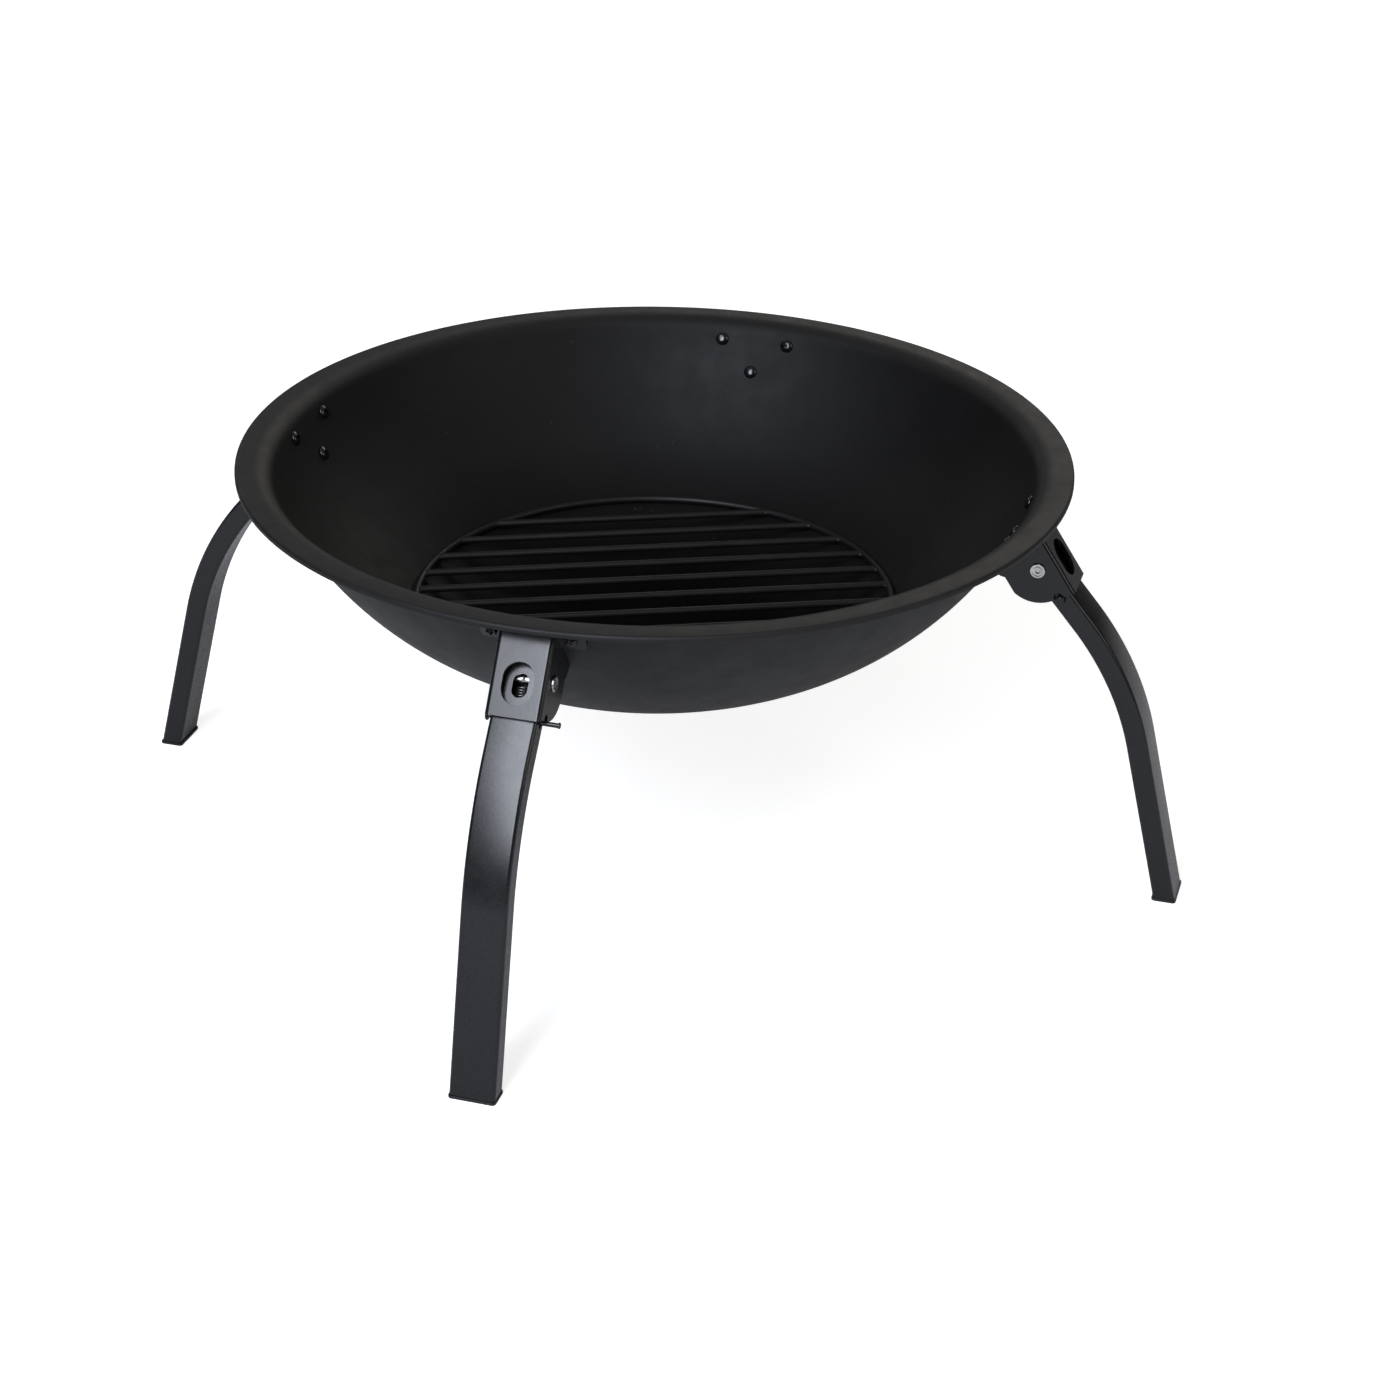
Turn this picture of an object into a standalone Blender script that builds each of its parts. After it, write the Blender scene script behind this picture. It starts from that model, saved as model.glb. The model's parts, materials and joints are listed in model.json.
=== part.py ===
"""A folding fire bowl.

A pressed steel bowl with a rolled rim holds a wire grate. Four curved legs of flat tube fold in under it,
each on a pivot in a bolted bracket, and a sprung cross pin in the leg locks it open in the bracket's notches.

The origin is on the floor under the middle of the bowl, and +Z is up. A station is one leg with all that
carries it. The stations stand on +X, +Y, -X and -Y, and each is the one on +X turned about Z.
"""

import math

import bmesh
import bpy
import numpy as np
from mathutils import Matrix, Vector

MM = 0.001

# Clearance between two pieces that touch on the real object
GAP = 0.3 * MM

# Bowl
RIM_RADIUS = 280 * MM
RIM_HEIGHT = 277 * MM
BOWL_DEPTH = 144.6 * MM
BOWL_SHEET = 1.2 * MM
FLOOR_FLAT = 46 * MM
FLANGE_WIDTH = 12 * MM
RIM_BEND = 13.8 * MM
LIP_HEIGHT = 4.0 * MM
LIP_BEND = 0.9 * MM
BOWL_SIDES = 48
DISH_STEPS = 6

# Grate
GRATE_RADIUS = 163.4 * MM
GRATE_WIRE = 2.5 * MM
BAR_PITCH = 26 * MM
BAR_COUNT = 11
BAR_TURN = math.radians(24)
BAR_WELD = 1.2 * MM

# Leg tube
TUBE_WIDTH = 30 * MM
TUBE_DEPTH = 14.5 * MM
TUBE_WALL = 1.5 * MM
TUBE_CORNER = 2.4 * MM
THIGH_ANGLE = math.radians(40.3)
SHIN_ANGLE = math.radians(13.5)
THIGH_LENGTH = 48.3 * MM
KNEE_CURVE = 214 * MM
KNEE_STEPS = 5
SIGHT_SLOT = (9.8 * MM, 15.2 * MM)
SIGHT_SLOT_DROP = 5.7 * MM

# Foot cap
CAP_FLANGE = 1.8 * MM
CAP_OVERHANG = 0.4 * MM
CAP_PLUG = 13 * MM

# Pivot, its screw and its barrel
PIVOT_DROP = 41.6 * MM
PIVOT_STANDOFF = 28.55 * MM
BARREL_RADIUS = 3.0 * MM
BARREL_WALL = 0.8 * MM
PIVOT_HEAD_RADIUS = 5.0 * MM
PIVOT_HEAD_HEIGHT = 1.2 * MM
PIVOT_SOCKET = 4.0 * MM
PIVOT_SOCKET_DEPTH = 0.8 * MM
SCREW_GRIP = 12 * MM

# Lock pin
PIN_RADIUS = 1.5 * MM
PIN_DISTANCE = 25.0 * MM
PIN_TRAVEL = 2.0 * MM
PIN_PULL = 9.6 * MM
PIN_BUTTON_RADIUS = 1.9 * MM
PIN_BUTTON_HEIGHT = 1.0 * MM
PIN_HEAD_RADIUS = 3.0 * MM
PIN_HEAD_HEIGHT = 1.4 * MM
PIN_HEAD_ROUND = 0.6 * MM

# Bracket
BRACKET_SHEET = 2.5 * MM
BRACKET_BEND = 3.0 * MM
BRACKET_LEAN = math.radians(33.5)
LEG_SIDE_GAP = 0.4 * MM
WEB_GAP = 1.0 * MM
WEB_REACH = 25.2 * MM
EAR_REACH = 23.7 * MM
BRACKET_TOP_DROP = 10.5 * MM
EAR_BACK = 22.1 * MM
EAR_STEP_RISE = 5.0 * MM
EAR_STEP = 2.4 * MM
NOTCH_RADIUS = 3.0 * MM
NOTCH_SINK = 0.8 * MM
WEB_HOLE = (20.0 * MM, 26.5 * MM)
WEB_HOLE_DROP = 4.2 * MM
FLANGE_REACH = 9.0 * MM
FLANGE_BELOW_BOLT = 10.5 * MM
FLANGE_ABOVE_BOLT = 3.6 * MM
FLANGE_CORNER = 2.0 * MM
BACK_PLATE_BELOW_BOLT = 11 * MM
BACK_PLATE_ABOVE_BOLT = 13 * MM

# Bolts and nuts that hold the bracket to the bowl
BOLT_RADIUS = 2.5 * MM
BOLT_HEAD_RADIUS = 4.75 * MM
BOLT_HEAD_HEIGHT = 2.7 * MM
BOLT_SOCKET = 3.0 * MM
BOLT_SOCKET_DEPTH = 1.6 * MM
BOLT_END = 2.2 * MM
NUT_FLATS = 8.0 * MM
NUT_HEIGHT = 4.0 * MM
UPPER_BOLT_DROP = 14.0 * MM
UPPER_BOLT_SPREAD = 50 * MM
LOWER_BOLT_DROP = 34.0 * MM

# Lock spring, wound from one wire
SPRING_WIRE = 0.6 * MM
SPRING_COIL = 3.9 * MM
SPRING_PITCH = 1.65 * MM
SPRING_START = 5.2 * MM
SPRING_CURLS = 7.5
POINTS_PER_CURL = 8
LEAST_SPRING_GAP = 0.4 * MM

# Sides of round pieces
ROUND_SIDES = 10
FINE_SIDES = 14
WIRE_SIDES = 8
BEND_STEPS = 3
RIM_STEPS = 8
CORNER_STEPS = 2
SLOT_STEPS = 6
HOOK_STEPS = 6

STATIONS = ("right", "back", "left", "front")
BOLT_SPOTS = ("upper_far", "upper_near", "lower")

# Shapes that follow from the sizes above
FLOOR_UNDERSIDE = RIM_HEIGHT - BOWL_DEPTH
BEND_CENTRE = (RIM_RADIUS - FLANGE_WIDTH, RIM_HEIGHT - BOWL_SHEET - RIM_BEND)
BEND_RISE = BEND_CENTRE[1] - FLOOR_UNDERSIDE
BEND_REACH = BEND_CENTRE[0] - FLOOR_FLAT
DISH_CURVE = (BEND_REACH ** 2 + BEND_RISE ** 2 - RIM_BEND ** 2) / (2 * (RIM_BEND + BEND_RISE))
DISH_CENTRE = (FLOOR_FLAT, FLOOR_UNDERSIDE + DISH_CURVE)


def dish_angle(drop):
    """Angle from straight down, at the dish's centre, of the wall point that lies this far below the rim."""
    return math.acos((DISH_CENTRE[1] - RIM_HEIGHT + drop) / DISH_CURVE)


def dish_point(angle, offset=0.0):
    """Radius and height of a point of the dish, offset outwards from its underside."""
    radius = DISH_CURVE + offset
    return DISH_CENTRE[0] + radius * math.sin(angle), DISH_CENTRE[1] - radius * math.cos(angle)


UPPER_BOLT_ANGLE = dish_angle(UPPER_BOLT_DROP)
LOWER_BOLT_ANGLE = dish_angle(LOWER_BOLT_DROP)
WALL_END_ANGLE = math.atan2(BEND_CENTRE[0] - DISH_CENTRE[0], DISH_CENTRE[1] - BEND_CENTRE[1])
BOLT_AZIMUTH = math.asin(UPPER_BOLT_SPREAD / 2 / dish_point(UPPER_BOLT_ANGLE)[0])

# The bowl's flat facets stand in from its true curve by this much under a bolt's head
FACET_RISE = (dish_point(UPPER_BOLT_ANGLE)[0] * (1 - math.cos(math.pi / BOWL_SIDES))
              + BOLT_HEAD_RADIUS * math.tan(LOWER_BOLT_ANGLE / DISH_STEPS / 2))

PIVOT = Vector((dish_point(dish_angle(PIVOT_DROP))[0] + PIVOT_STANDOFF, 0, RIM_HEIGHT - PIVOT_DROP))
THIGH = Vector((math.sin(THIGH_ANGLE), 0, -math.cos(THIGH_ANGLE)))
THIGH_FACE = Vector((math.cos(THIGH_ANGLE), 0, math.sin(THIGH_ANGLE)))
SHIN = Vector((math.sin(SHIN_ANGLE), 0, -math.cos(SHIN_ANGLE)))
SHIN_FACE = Vector((math.cos(SHIN_ANGLE), 0, math.sin(SHIN_ANGLE)))
TANGENT = Vector((0, 1, 0))
PIN = PIVOT + THIGH * PIN_DISTANCE
KNEE_CENTRE = PIVOT + THIGH_FACE * (TUBE_DEPTH / 2 - KNEE_CURVE) + THIGH * THIGH_LENGTH
KNEE_END = KNEE_CENTRE + SHIN_FACE * KNEE_CURVE

# The web runs down along WEB_DOWN, and faces out along WEB_FACE, WEB_OUT from the pivot
WEB_DOWN = Vector((math.sin(BRACKET_LEAN), 0, -math.cos(BRACKET_LEAN)))
WEB_FACE = Vector((math.cos(BRACKET_LEAN), 0, math.sin(BRACKET_LEAN)))
LEG_SPREAD = THIGH_ANGLE - BRACKET_LEAN
WEB_INSIDE = TUBE_DEPTH / 2 / math.cos(LEG_SPREAD) + WEB_REACH * math.tan(LEG_SPREAD) + WEB_GAP
WEB_OUT = WEB_INSIDE + BRACKET_SHEET
EAR_INSIDE = TUBE_WIDTH / 2 + LEG_SIDE_GAP
EAR_OUTSIDE = EAR_INSIDE + BRACKET_SHEET
EAR_RIM = PIN_DISTANCE - PIN_RADIUS - GAP
NOTCH_DISTANCE = EAR_RIM - NOTCH_SINK

# The tube's top corners swing past the web as the leg folds
LEG_TOP = math.sqrt((WEB_INSIDE - GAP) ** 2 - (TUBE_DEPTH / 2) ** 2)


def clear_scene():
    """Empty the scene of its objects."""
    for obj in list(bpy.data.objects):
        bpy.data.objects.remove(obj, do_unlink=True)


def collection(name):
    """A new collection in the scene."""
    group = bpy.data.collections.new(name)
    bpy.context.scene.collection.children.link(group)
    return group


def material(name, colour, roughness, metallic):
    """A plain Principled finish."""
    finish = bpy.data.materials.new(name)
    finish.use_nodes = True
    shader = finish.node_tree.nodes["Principled BSDF"]
    shader.inputs["Base Color"].default_value = (*colour, 1.0)
    shader.inputs["Roughness"].default_value = roughness
    shader.inputs["Metallic"].default_value = metallic
    finish.diffuse_color = (*colour, 1.0)
    return finish


def frame(x_axis, y_axis, origin):
    """A right-handed placing matrix from two square axes and an origin."""
    x_axis = Vector(x_axis).normalized()
    y_axis = Vector(y_axis).normalized()
    z_axis = x_axis.cross(y_axis)
    matrix = Matrix((x_axis, y_axis, z_axis)).transposed().to_4x4()
    matrix.translation = origin
    return matrix


def arc(centre, radius, start, end, steps):
    """Points along a circle, both ends included, with angles in radians."""
    angles = [start + (end - start) * i / steps for i in range(steps + 1)]
    return [(centre[0] + radius * math.cos(a), centre[1] + radius * math.sin(a)) for a in angles]


def rounded_box(low, high, radius, steps=CORNER_STEPS):
    """Outline of a rectangle with round corners."""
    corners = ((high[0], high[1], 0), (low[0], high[1], 1), (low[0], low[1], 2), (high[0], low[1], 3))
    outline = []
    for x, y, quarter in corners:
        inset = (x - math.copysign(radius, x - (low[0] + high[0]) / 2),
                 y - math.copysign(radius, y - (low[1] + high[1]) / 2))
        outline += arc(inset, radius, quarter * math.pi / 2, (quarter + 1) * math.pi / 2, steps)
    return outline


def slot_outline(start, end, radius, steps=SLOT_STEPS):
    """Outline of a slot with round ends, from one end's centre to the other's."""
    along = math.atan2(end[1] - start[1], end[0] - start[0])
    quarter = math.pi / 2
    far_end = arc(end, radius, along - quarter, along + quarter, steps)
    return far_end + arc(start, radius, along + quarter, along + 3 * quarter, steps)


def add_mesh(name, mesh, placing):
    """A loose helper object that holds a mesh or a curve in its place."""
    obj = bpy.data.objects.new(name, mesh)
    guides.objects.link(obj)
    obj.matrix_world = placing
    obj.hide_render = True
    obj.display_type = "WIRE"
    return obj


def mesh_of(obj):
    """The mesh that an object shows, with its seams closed and its faces pointing out."""
    bpy.context.view_layer.update()
    graph = bpy.context.evaluated_depsgraph_get()
    mesh = bpy.data.meshes.new_from_object(obj.evaluated_get(graph))
    shape = bmesh.new()
    shape.from_mesh(mesh)
    bmesh.ops.remove_doubles(shape, verts=shape.verts, dist=0.001 * MM)
    bmesh.ops.recalc_face_normals(shape, faces=shape.faces)
    shape.to_mesh(mesh)
    shape.free()
    return mesh


def from_curve(name, curve, placing):
    """A mesh object from a curve, which is removed."""
    source = add_mesh(name + "_curve", curve, Matrix.Identity(4))
    mesh = mesh_of(source)
    bpy.data.objects.remove(source)
    return add_mesh(name, mesh, placing)


def plate(name, outline, thickness, placing):
    """A flat plate: an outline in the placing's XY plane, half its thickness to each side."""
    curve = bpy.data.curves.new(name, "CURVE")
    curve.dimensions = "2D"
    curve.fill_mode = "BOTH"
    curve.extrude = thickness / 2
    spline = curve.splines.new("POLY")
    spline.points.add(len(outline) - 1)
    for point, (x, y) in zip(spline.points, outline):
        point.co = (x, y, 0, 1)
    spline.use_cyclic_u = True
    return from_curve(name, curve, placing)


def wire(name, points, radius, resolution, placing):
    """A bent wire along points, with closed ends."""
    curve = bpy.data.curves.new(name, "CURVE")
    curve.dimensions = "3D"
    curve.bevel_depth = radius
    curve.bevel_resolution = resolution
    curve.use_fill_caps = True
    spline = curve.splines.new("POLY")
    spline.points.add(len(points) - 1)
    for point, place in zip(spline.points, points):
        point.co = (*place, 1)
    return from_curve(name, curve, placing)


def swept(name, path, section, placing):
    """A bar of one section along a flat path: the section's X lies in the path's plane."""
    outline = bpy.data.curves.new(name + "_section", "CURVE")
    outline.dimensions = "2D"
    curve = bpy.data.curves.new(name, "CURVE")
    curve.dimensions = "2D"
    for spline_curve, points in ((outline, section), (curve, path)):
        spline = spline_curve.splines.new("POLY")
        spline.points.add(len(points) - 1)
        for point, (x, y) in zip(spline.points, points):
            point.co = (x, y, 0, 1)
    outline.splines[0].use_cyclic_u = True
    curve.bevel_mode = "OBJECT"
    curve.bevel_object = add_mesh(name + "_section", outline, Matrix.Identity(4))
    curve.use_fill_caps = True
    return from_curve(name, curve, placing)


def turned(name, profile, sides, placing):
    """A turned piece from a profile that runs down its outer side, about the placing's Z axis."""
    mesh = bpy.data.meshes.new(name)
    edges = [(i, i + 1) for i in range(len(profile) - 1)]
    mesh.from_pydata([(x, 0, z) for x, z in profile], edges, [])
    obj = add_mesh(name, mesh, placing)
    screw = obj.modifiers.new("turn", "SCREW")
    screw.axis = "Z"
    screw.steps = sides
    screw.render_steps = sides
    screw.use_merge_vertices = True
    screw.merge_threshold = 0.01 * MM
    return obj


def rod(name, radius, low, high, sides, placing):
    """A plain round rod along the placing's Z axis."""
    mesh = bpy.data.meshes.new(name)
    shape = bmesh.new()
    bmesh.ops.create_cone(shape, cap_ends=True, segments=sides, radius1=radius, radius2=radius,
                          depth=high - low)
    bmesh.ops.translate(shape, verts=shape.verts, vec=(0, 0, (low + high) / 2))
    shape.to_mesh(mesh)
    shape.free()
    return add_mesh(name, mesh, placing)


def combine(obj, other, operation):
    """A Boolean on the object: its helper is kept beside it until the shape is settled."""
    boolean = obj.modifiers.new(operation.lower(), "BOOLEAN")
    boolean.operation = operation
    boolean.solver = "EXACT"
    boolean.object = other
    return obj


def settle(obj, origin=Vector((0, 0, 0)), smooth=math.radians(35)):
    """The finished mesh of an object, measured from a point, with all helper objects cleared away."""
    mesh = mesh_of(obj)
    mesh.transform(Matrix.Translation(-origin) @ obj.matrix_world)
    mesh.name = obj.name
    mesh.shade_smooth()
    mesh.set_sharp_from_angle(angle=smooth)
    for helper in list(guides.objects):
        bpy.data.objects.remove(helper, do_unlink=True)
    return mesh


def place(name, mesh, finish, parent=None, placing=Matrix.Identity(4)):
    """A finished sub-part of the fire bowl."""
    obj = bpy.data.objects.new(name, mesh)
    parts.objects.link(obj)
    if not mesh.materials:
        mesh.materials.append(finish)
    obj.parent = parent
    obj.matrix_local = placing
    return obj


# Bowl

def bowl_section(offset):
    """Section of the bowl from its axis to the lip's lower edge, offset outwards from the underside."""
    floor = [(0.0, FLOOR_UNDERSIDE - offset)]
    angles = [LOWER_BOLT_ANGLE * i / DISH_STEPS for i in range(DISH_STEPS + 1)]
    angles += [UPPER_BOLT_ANGLE, WALL_END_ANGLE]
    dish = [dish_point(a, offset) for a in angles]
    wall_side = math.pi / 2 + WALL_END_ANGLE
    bend = arc(BEND_CENTRE, RIM_BEND - offset, wall_side, math.pi / 2, BEND_STEPS)[1:]
    lip_centre = (RIM_RADIUS - BOWL_SHEET - LIP_BEND, RIM_HEIGHT - BOWL_SHEET - LIP_BEND)
    lip = arc(lip_centre, LIP_BEND - offset, math.pi / 2, 0, CORNER_STEPS)
    end = [(RIM_RADIUS - BOWL_SHEET - offset, RIM_HEIGHT - LIP_HEIGHT)]
    return floor + dish + bend + lip + end


def bowl_clearance():
    """All the space that the bowl and what it holds take up, grown by the gap, as a cutter."""
    top = RIM_HEIGHT + BOWL_DEPTH
    under = [p for p in bowl_section(GAP) if p[0] <= BEND_CENTRE[0] + GAP]
    outer = RIM_RADIUS
    profile = [(0.0, top), (outer, top), (outer, under[-1][1])]
    return turned("bowl_space", profile + under[::-1], BOWL_SIDES, Matrix.Identity(4))


def bolt_frames():
    """Placing of the three bolts at the station on +X: Z points into the bowl, from its underside."""
    spots = ((UPPER_BOLT_ANGLE, BOLT_AZIMUTH), (UPPER_BOLT_ANGLE, -BOLT_AZIMUTH), (LOWER_BOLT_ANGLE, 0.0))
    frames = []
    for angle, azimuth in spots:
        radius, height = dish_point(angle)
        up_wall = Vector((math.cos(angle), 0, math.sin(angle)))
        turn = Matrix.Rotation(azimuth, 4, "Z")
        frames.append(turn @ frame(-TANGENT, up_wall, (radius, 0, height)))
    return frames


def bolt_hole(sheet, placing):
    """A hole through a sheet that lies against the bowl's underside, on either side of it, as a cutter."""
    return rod("bolt_hole", BOLT_RADIUS + GAP, -3 * sheet, 3 * sheet, ROUND_SIDES, placing)


def make_bowl(finish):
    """The pressed bowl, with twelve bolt holes."""
    upper = bowl_section(-BOWL_SHEET)
    under = bowl_section(0.0)
    bowl = turned("bowl", upper + under[::-1], BOWL_SIDES, Matrix.Identity(4))
    for index in range(len(STATIONS)):
        turn = Matrix.Rotation(index * math.tau / len(STATIONS), 4, "Z")
        for placing in bolt_frames():
            combine(bowl, bolt_hole(BOWL_SHEET, turn @ placing), "DIFFERENCE")
    return place("bowl", settle(bowl), finish)


# Grate

def seat_height(radius, wire_radius):
    """Height at which a wire ring of this radius lies a gap clear of the bowl's inner facets."""
    section = bowl_section(-BOWL_SHEET)
    clear = wire_radius + GAP
    height = -math.inf
    for (r0, z0), (r1, z1) in zip(section[:-1], section[1:]):
        length = math.hypot(r1 - r0, z1 - z0)
        if r1 - r0 < 1e-9 or not r0 - clear <= radius <= r1 + clear:
            continue
        along = (radius - r0) / (r1 - r0)
        height = max(height, z0 + (z1 - z0) * along + clear * length / (r1 - r0))
    return height


def make_grate(finish):
    """A wire ring that lies on the dish, with parallel bars welded to its inner side at the same level."""
    height = seat_height(GRATE_RADIUS, GRATE_WIRE)
    bpy.ops.mesh.primitive_torus_add(major_segments=BOWL_SIDES, minor_segments=WIRE_SIDES,
                                     major_radius=GRATE_RADIUS, minor_radius=GRATE_WIRE, location=(0, 0, 0))
    torus = bpy.context.object
    grate = add_mesh("grate", torus.data, Matrix.Translation((0, 0, height)))
    bpy.data.objects.remove(torus)
    turn = Matrix.Rotation(BAR_TURN, 4, "Z")
    for index in range(BAR_COUNT):
        offset = (index - (BAR_COUNT - 1) / 2) * BAR_PITCH
        half = math.sqrt(GRATE_RADIUS ** 2 - offset ** 2) - BAR_WELD
        along = turn @ frame(TANGENT, (0, 0, 1), (0, offset, height))
        combine(grate, rod("bar", GRATE_WIRE, -half, half, WIRE_SIDES, along), "UNION")
    return place("grate", settle(grate), finish)


# Leg

def shin_radius(height, inset=0.0):
    """Radius of the shin's outer face at a height, or of a plane inset from that face."""
    return KNEE_END.x + (KNEE_END.z - height) * math.tan(SHIN_ANGLE) - inset / math.cos(SHIN_ANGLE)


def leg_path(above, under_floor):
    """Middle line of the leg as (radius, height) points, run on past its top and past the floor."""
    middle = TUBE_DEPTH / 2
    top = PIVOT - THIGH * (LEG_TOP + above)
    knee = arc((KNEE_CENTRE.x, KNEE_CENTRE.z), KNEE_CURVE - middle, THIGH_ANGLE, SHIN_ANGLE, KNEE_STEPS)
    return [(top.x, top.z)] + knee + [(shin_radius(-under_floor, middle), -under_floor)]


def tube_section(inset, steps=CORNER_STEPS):
    """Section of the leg's tube, inset from its outside: X is its depth and Y its width."""
    high = (TUBE_DEPTH / 2 - inset, TUBE_WIDTH / 2 - inset)
    return rounded_box((-high[0], -high[1]), high, TUBE_CORNER - inset, steps)


def side_view():
    """Placing of an outline of (radius, height) points, whose thickness runs along the tangent."""
    return frame((1, 0, 0), (0, 0, 1), (0, 0, 0))


def below(name, height, wide):
    """A block that reaches from a height down past the floor, as a cutter."""
    far = PIVOT.x + RIM_RADIUS
    return plate(name, [(0, -wide), (far, -wide), (far, height), (0, height)], 2 * wide, side_view())


def make_leg():
    """The curved tube of a leg, open at both ends, with its sight slot, pin slots and pivot holes."""
    reach = TUBE_DEPTH
    leg = swept("leg", leg_path(0.0, reach), tube_section(0.0), side_view())
    hollow = swept("hollow", leg_path(reach, 2 * reach), tube_section(TUBE_WALL, 1), side_view())
    combine(leg, hollow, "DIFFERENCE")
    combine(leg, below("foot_cut", CAP_FLANGE + GAP, 2 * TUBE_WIDTH), "DIFFERENCE")
    through = frame(THIGH, THIGH_FACE, PIVOT)
    pin_slot = slot_outline((PIN_DISTANCE, 0), (PIN_DISTANCE + PIN_TRAVEL, 0), PIN_RADIUS + GAP)
    combine(leg, plate("pin_slot", pin_slot, 2 * TUBE_WIDTH, through), "DIFFERENCE")
    pivot_hole = rod("pivot_hole", BARREL_RADIUS + GAP, -TUBE_WIDTH, TUBE_WIDTH, FINE_SIDES, through)
    combine(leg, pivot_hole, "DIFFERENCE")
    width, length = SIGHT_SLOT
    ends = (length - width) / 2
    sight = slot_outline((SIGHT_SLOT_DROP - ends, 0), (SIGHT_SLOT_DROP + ends, 0), width / 2)
    face = frame(THIGH, TANGENT, PIVOT + THIGH_FACE * (TUBE_DEPTH / 2))
    combine(leg, plate("sight_slot", sight, 3 * TUBE_WALL, face), "DIFFERENCE")
    return settle(leg, PIVOT)


def make_foot_cap():
    """The plastic cap on a leg's end: a flange that stands on the floor, and a plug in the tube."""
    half = TUBE_WIDTH / 2 + CAP_OVERHANG
    low = (shin_radius(CAP_FLANGE, TUBE_DEPTH) - CAP_OVERHANG, -half)
    high = (shin_radius(0.0) + CAP_OVERHANG, half)
    flange = rounded_box(low, high, TUBE_CORNER)
    cap = plate("foot_cap", flange, CAP_FLANGE, frame((1, 0, 0), TANGENT, (0, 0, CAP_FLANGE / 2)))
    middle = TUBE_DEPTH / 2
    plug_path = [(shin_radius(z, middle), z) for z in (CAP_FLANGE + CAP_PLUG, -CAP_PLUG)]
    plug = swept("plug", plug_path, tube_section(TUBE_WALL + GAP, 1), side_view())
    combine(plug, below("plug_cut", CAP_FLANGE / 2, 2 * TUBE_WIDTH), "DIFFERENCE")
    combine(cap, plug, "UNION")
    return settle(cap, PIVOT)


# Pivot and lock pin

def make_pivot_barrel():
    """The barrel that the leg turns on, with its round head outside the ear on the +Y side."""
    head = EAR_OUTSIDE + GAP
    top = head + PIVOT_HEAD_HEIGHT
    end = -EAR_OUTSIDE
    bore = BARREL_RADIUS - BARREL_WALL
    chamfer = PIVOT_HEAD_HEIGHT / 3
    profile = [(0, top), (PIVOT_HEAD_RADIUS - chamfer, top), (PIVOT_HEAD_RADIUS, top - chamfer),
               (PIVOT_HEAD_RADIUS, head), (BARREL_RADIUS, head), (BARREL_RADIUS, end), (bore, end),
               (bore, end + SCREW_GRIP + GAP), (0, end + SCREW_GRIP + GAP)]
    barrel = turned("pivot_barrel", profile, FINE_SIDES, frame((1, 0, 0), (0, 0, -1), PIVOT))
    return settle(barrel, PIVOT)


def make_pivot_screw():
    """The screw in the barrel's other end, with its socket head outside the ear on the -Y side."""
    head = EAR_OUTSIDE + GAP
    top = head + PIVOT_HEAD_HEIGHT
    shank = BARREL_RADIUS - BARREL_WALL - GAP
    end = EAR_OUTSIDE - SCREW_GRIP
    chamfer = PIVOT_HEAD_HEIGHT / 3
    profile = [(0, top), (PIVOT_HEAD_RADIUS - chamfer, top), (PIVOT_HEAD_RADIUS, top - chamfer),
               (PIVOT_HEAD_RADIUS, head), (shank, head), (shank, end), (0, end)]
    placing = frame((1, 0, 0), (0, 0, 1), PIVOT)
    screw = turned("pivot_screw", profile, FINE_SIDES, placing)
    corner = PIVOT_SOCKET / 2 / math.cos(math.pi / 6)
    socket = rod("socket", corner, top - PIVOT_SOCKET_DEPTH, top + PIVOT_SOCKET_DEPTH, 6, placing)
    combine(screw, socket, "DIFFERENCE")
    return settle(screw, PIVOT)


def make_lock_pin():
    """The cross pin, with a round head on the -Y side, and long enough to pull on the +Y side."""
    end = EAR_OUTSIDE + PIN_PULL
    neck = end - PIN_BUTTON_HEIGHT
    chamfer = PIN_BUTTON_RADIUS - PIN_RADIUS
    seat = -EAR_OUTSIDE - GAP
    start = seat - PIN_HEAD_HEIGHT
    profile = [(0, end), (PIN_BUTTON_RADIUS, end), (PIN_BUTTON_RADIUS, neck), (PIN_RADIUS, neck - chamfer),
               (PIN_RADIUS, seat), (PIN_HEAD_RADIUS, seat), (PIN_HEAD_RADIUS, start + PIN_HEAD_ROUND),
               (PIN_HEAD_RADIUS - PIN_HEAD_ROUND, start), (0, start)]
    pin = turned("lock_pin", profile, ROUND_SIDES, frame((1, 0, 0), (0, 0, -1), PIN))
    return settle(pin, PIN)


# Lock spring

def spring_points():
    """The spring's wire as (along the thigh, depth, tangent) points: a hook, the coil and a second hook."""
    top_hook = BARREL_RADIUS + GAP + SPRING_WIRE
    pin_hook = PIN_RADIUS + GAP + SPRING_WIRE
    coil_length = SPRING_CURLS * SPRING_PITCH
    lead = 2 * SPRING_WIRE
    points = [(lead, top_hook, 0)]
    points += [(-y, x, 0) for x, y in arc((0, 0), top_hook, 0, math.pi, HOOK_STEPS)]
    count = round(SPRING_CURLS * POINTS_PER_CURL)
    for index in range(count + 1):
        turn = math.tau * index / POINTS_PER_CURL
        along = SPRING_START + coil_length * index / count
        points.append((along, -SPRING_COIL * math.cos(turn), SPRING_COIL * math.sin(turn)))
    side = points[-1][1] / SPRING_COIL
    points += [(PIN_DISTANCE + y, side * x, 0) for x, y in arc((0, 0), pin_hook, 0, math.pi, HOOK_STEPS)]
    points.append((PIN_DISTANCE - lead, -side * pin_hook, 0))
    return points


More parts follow.
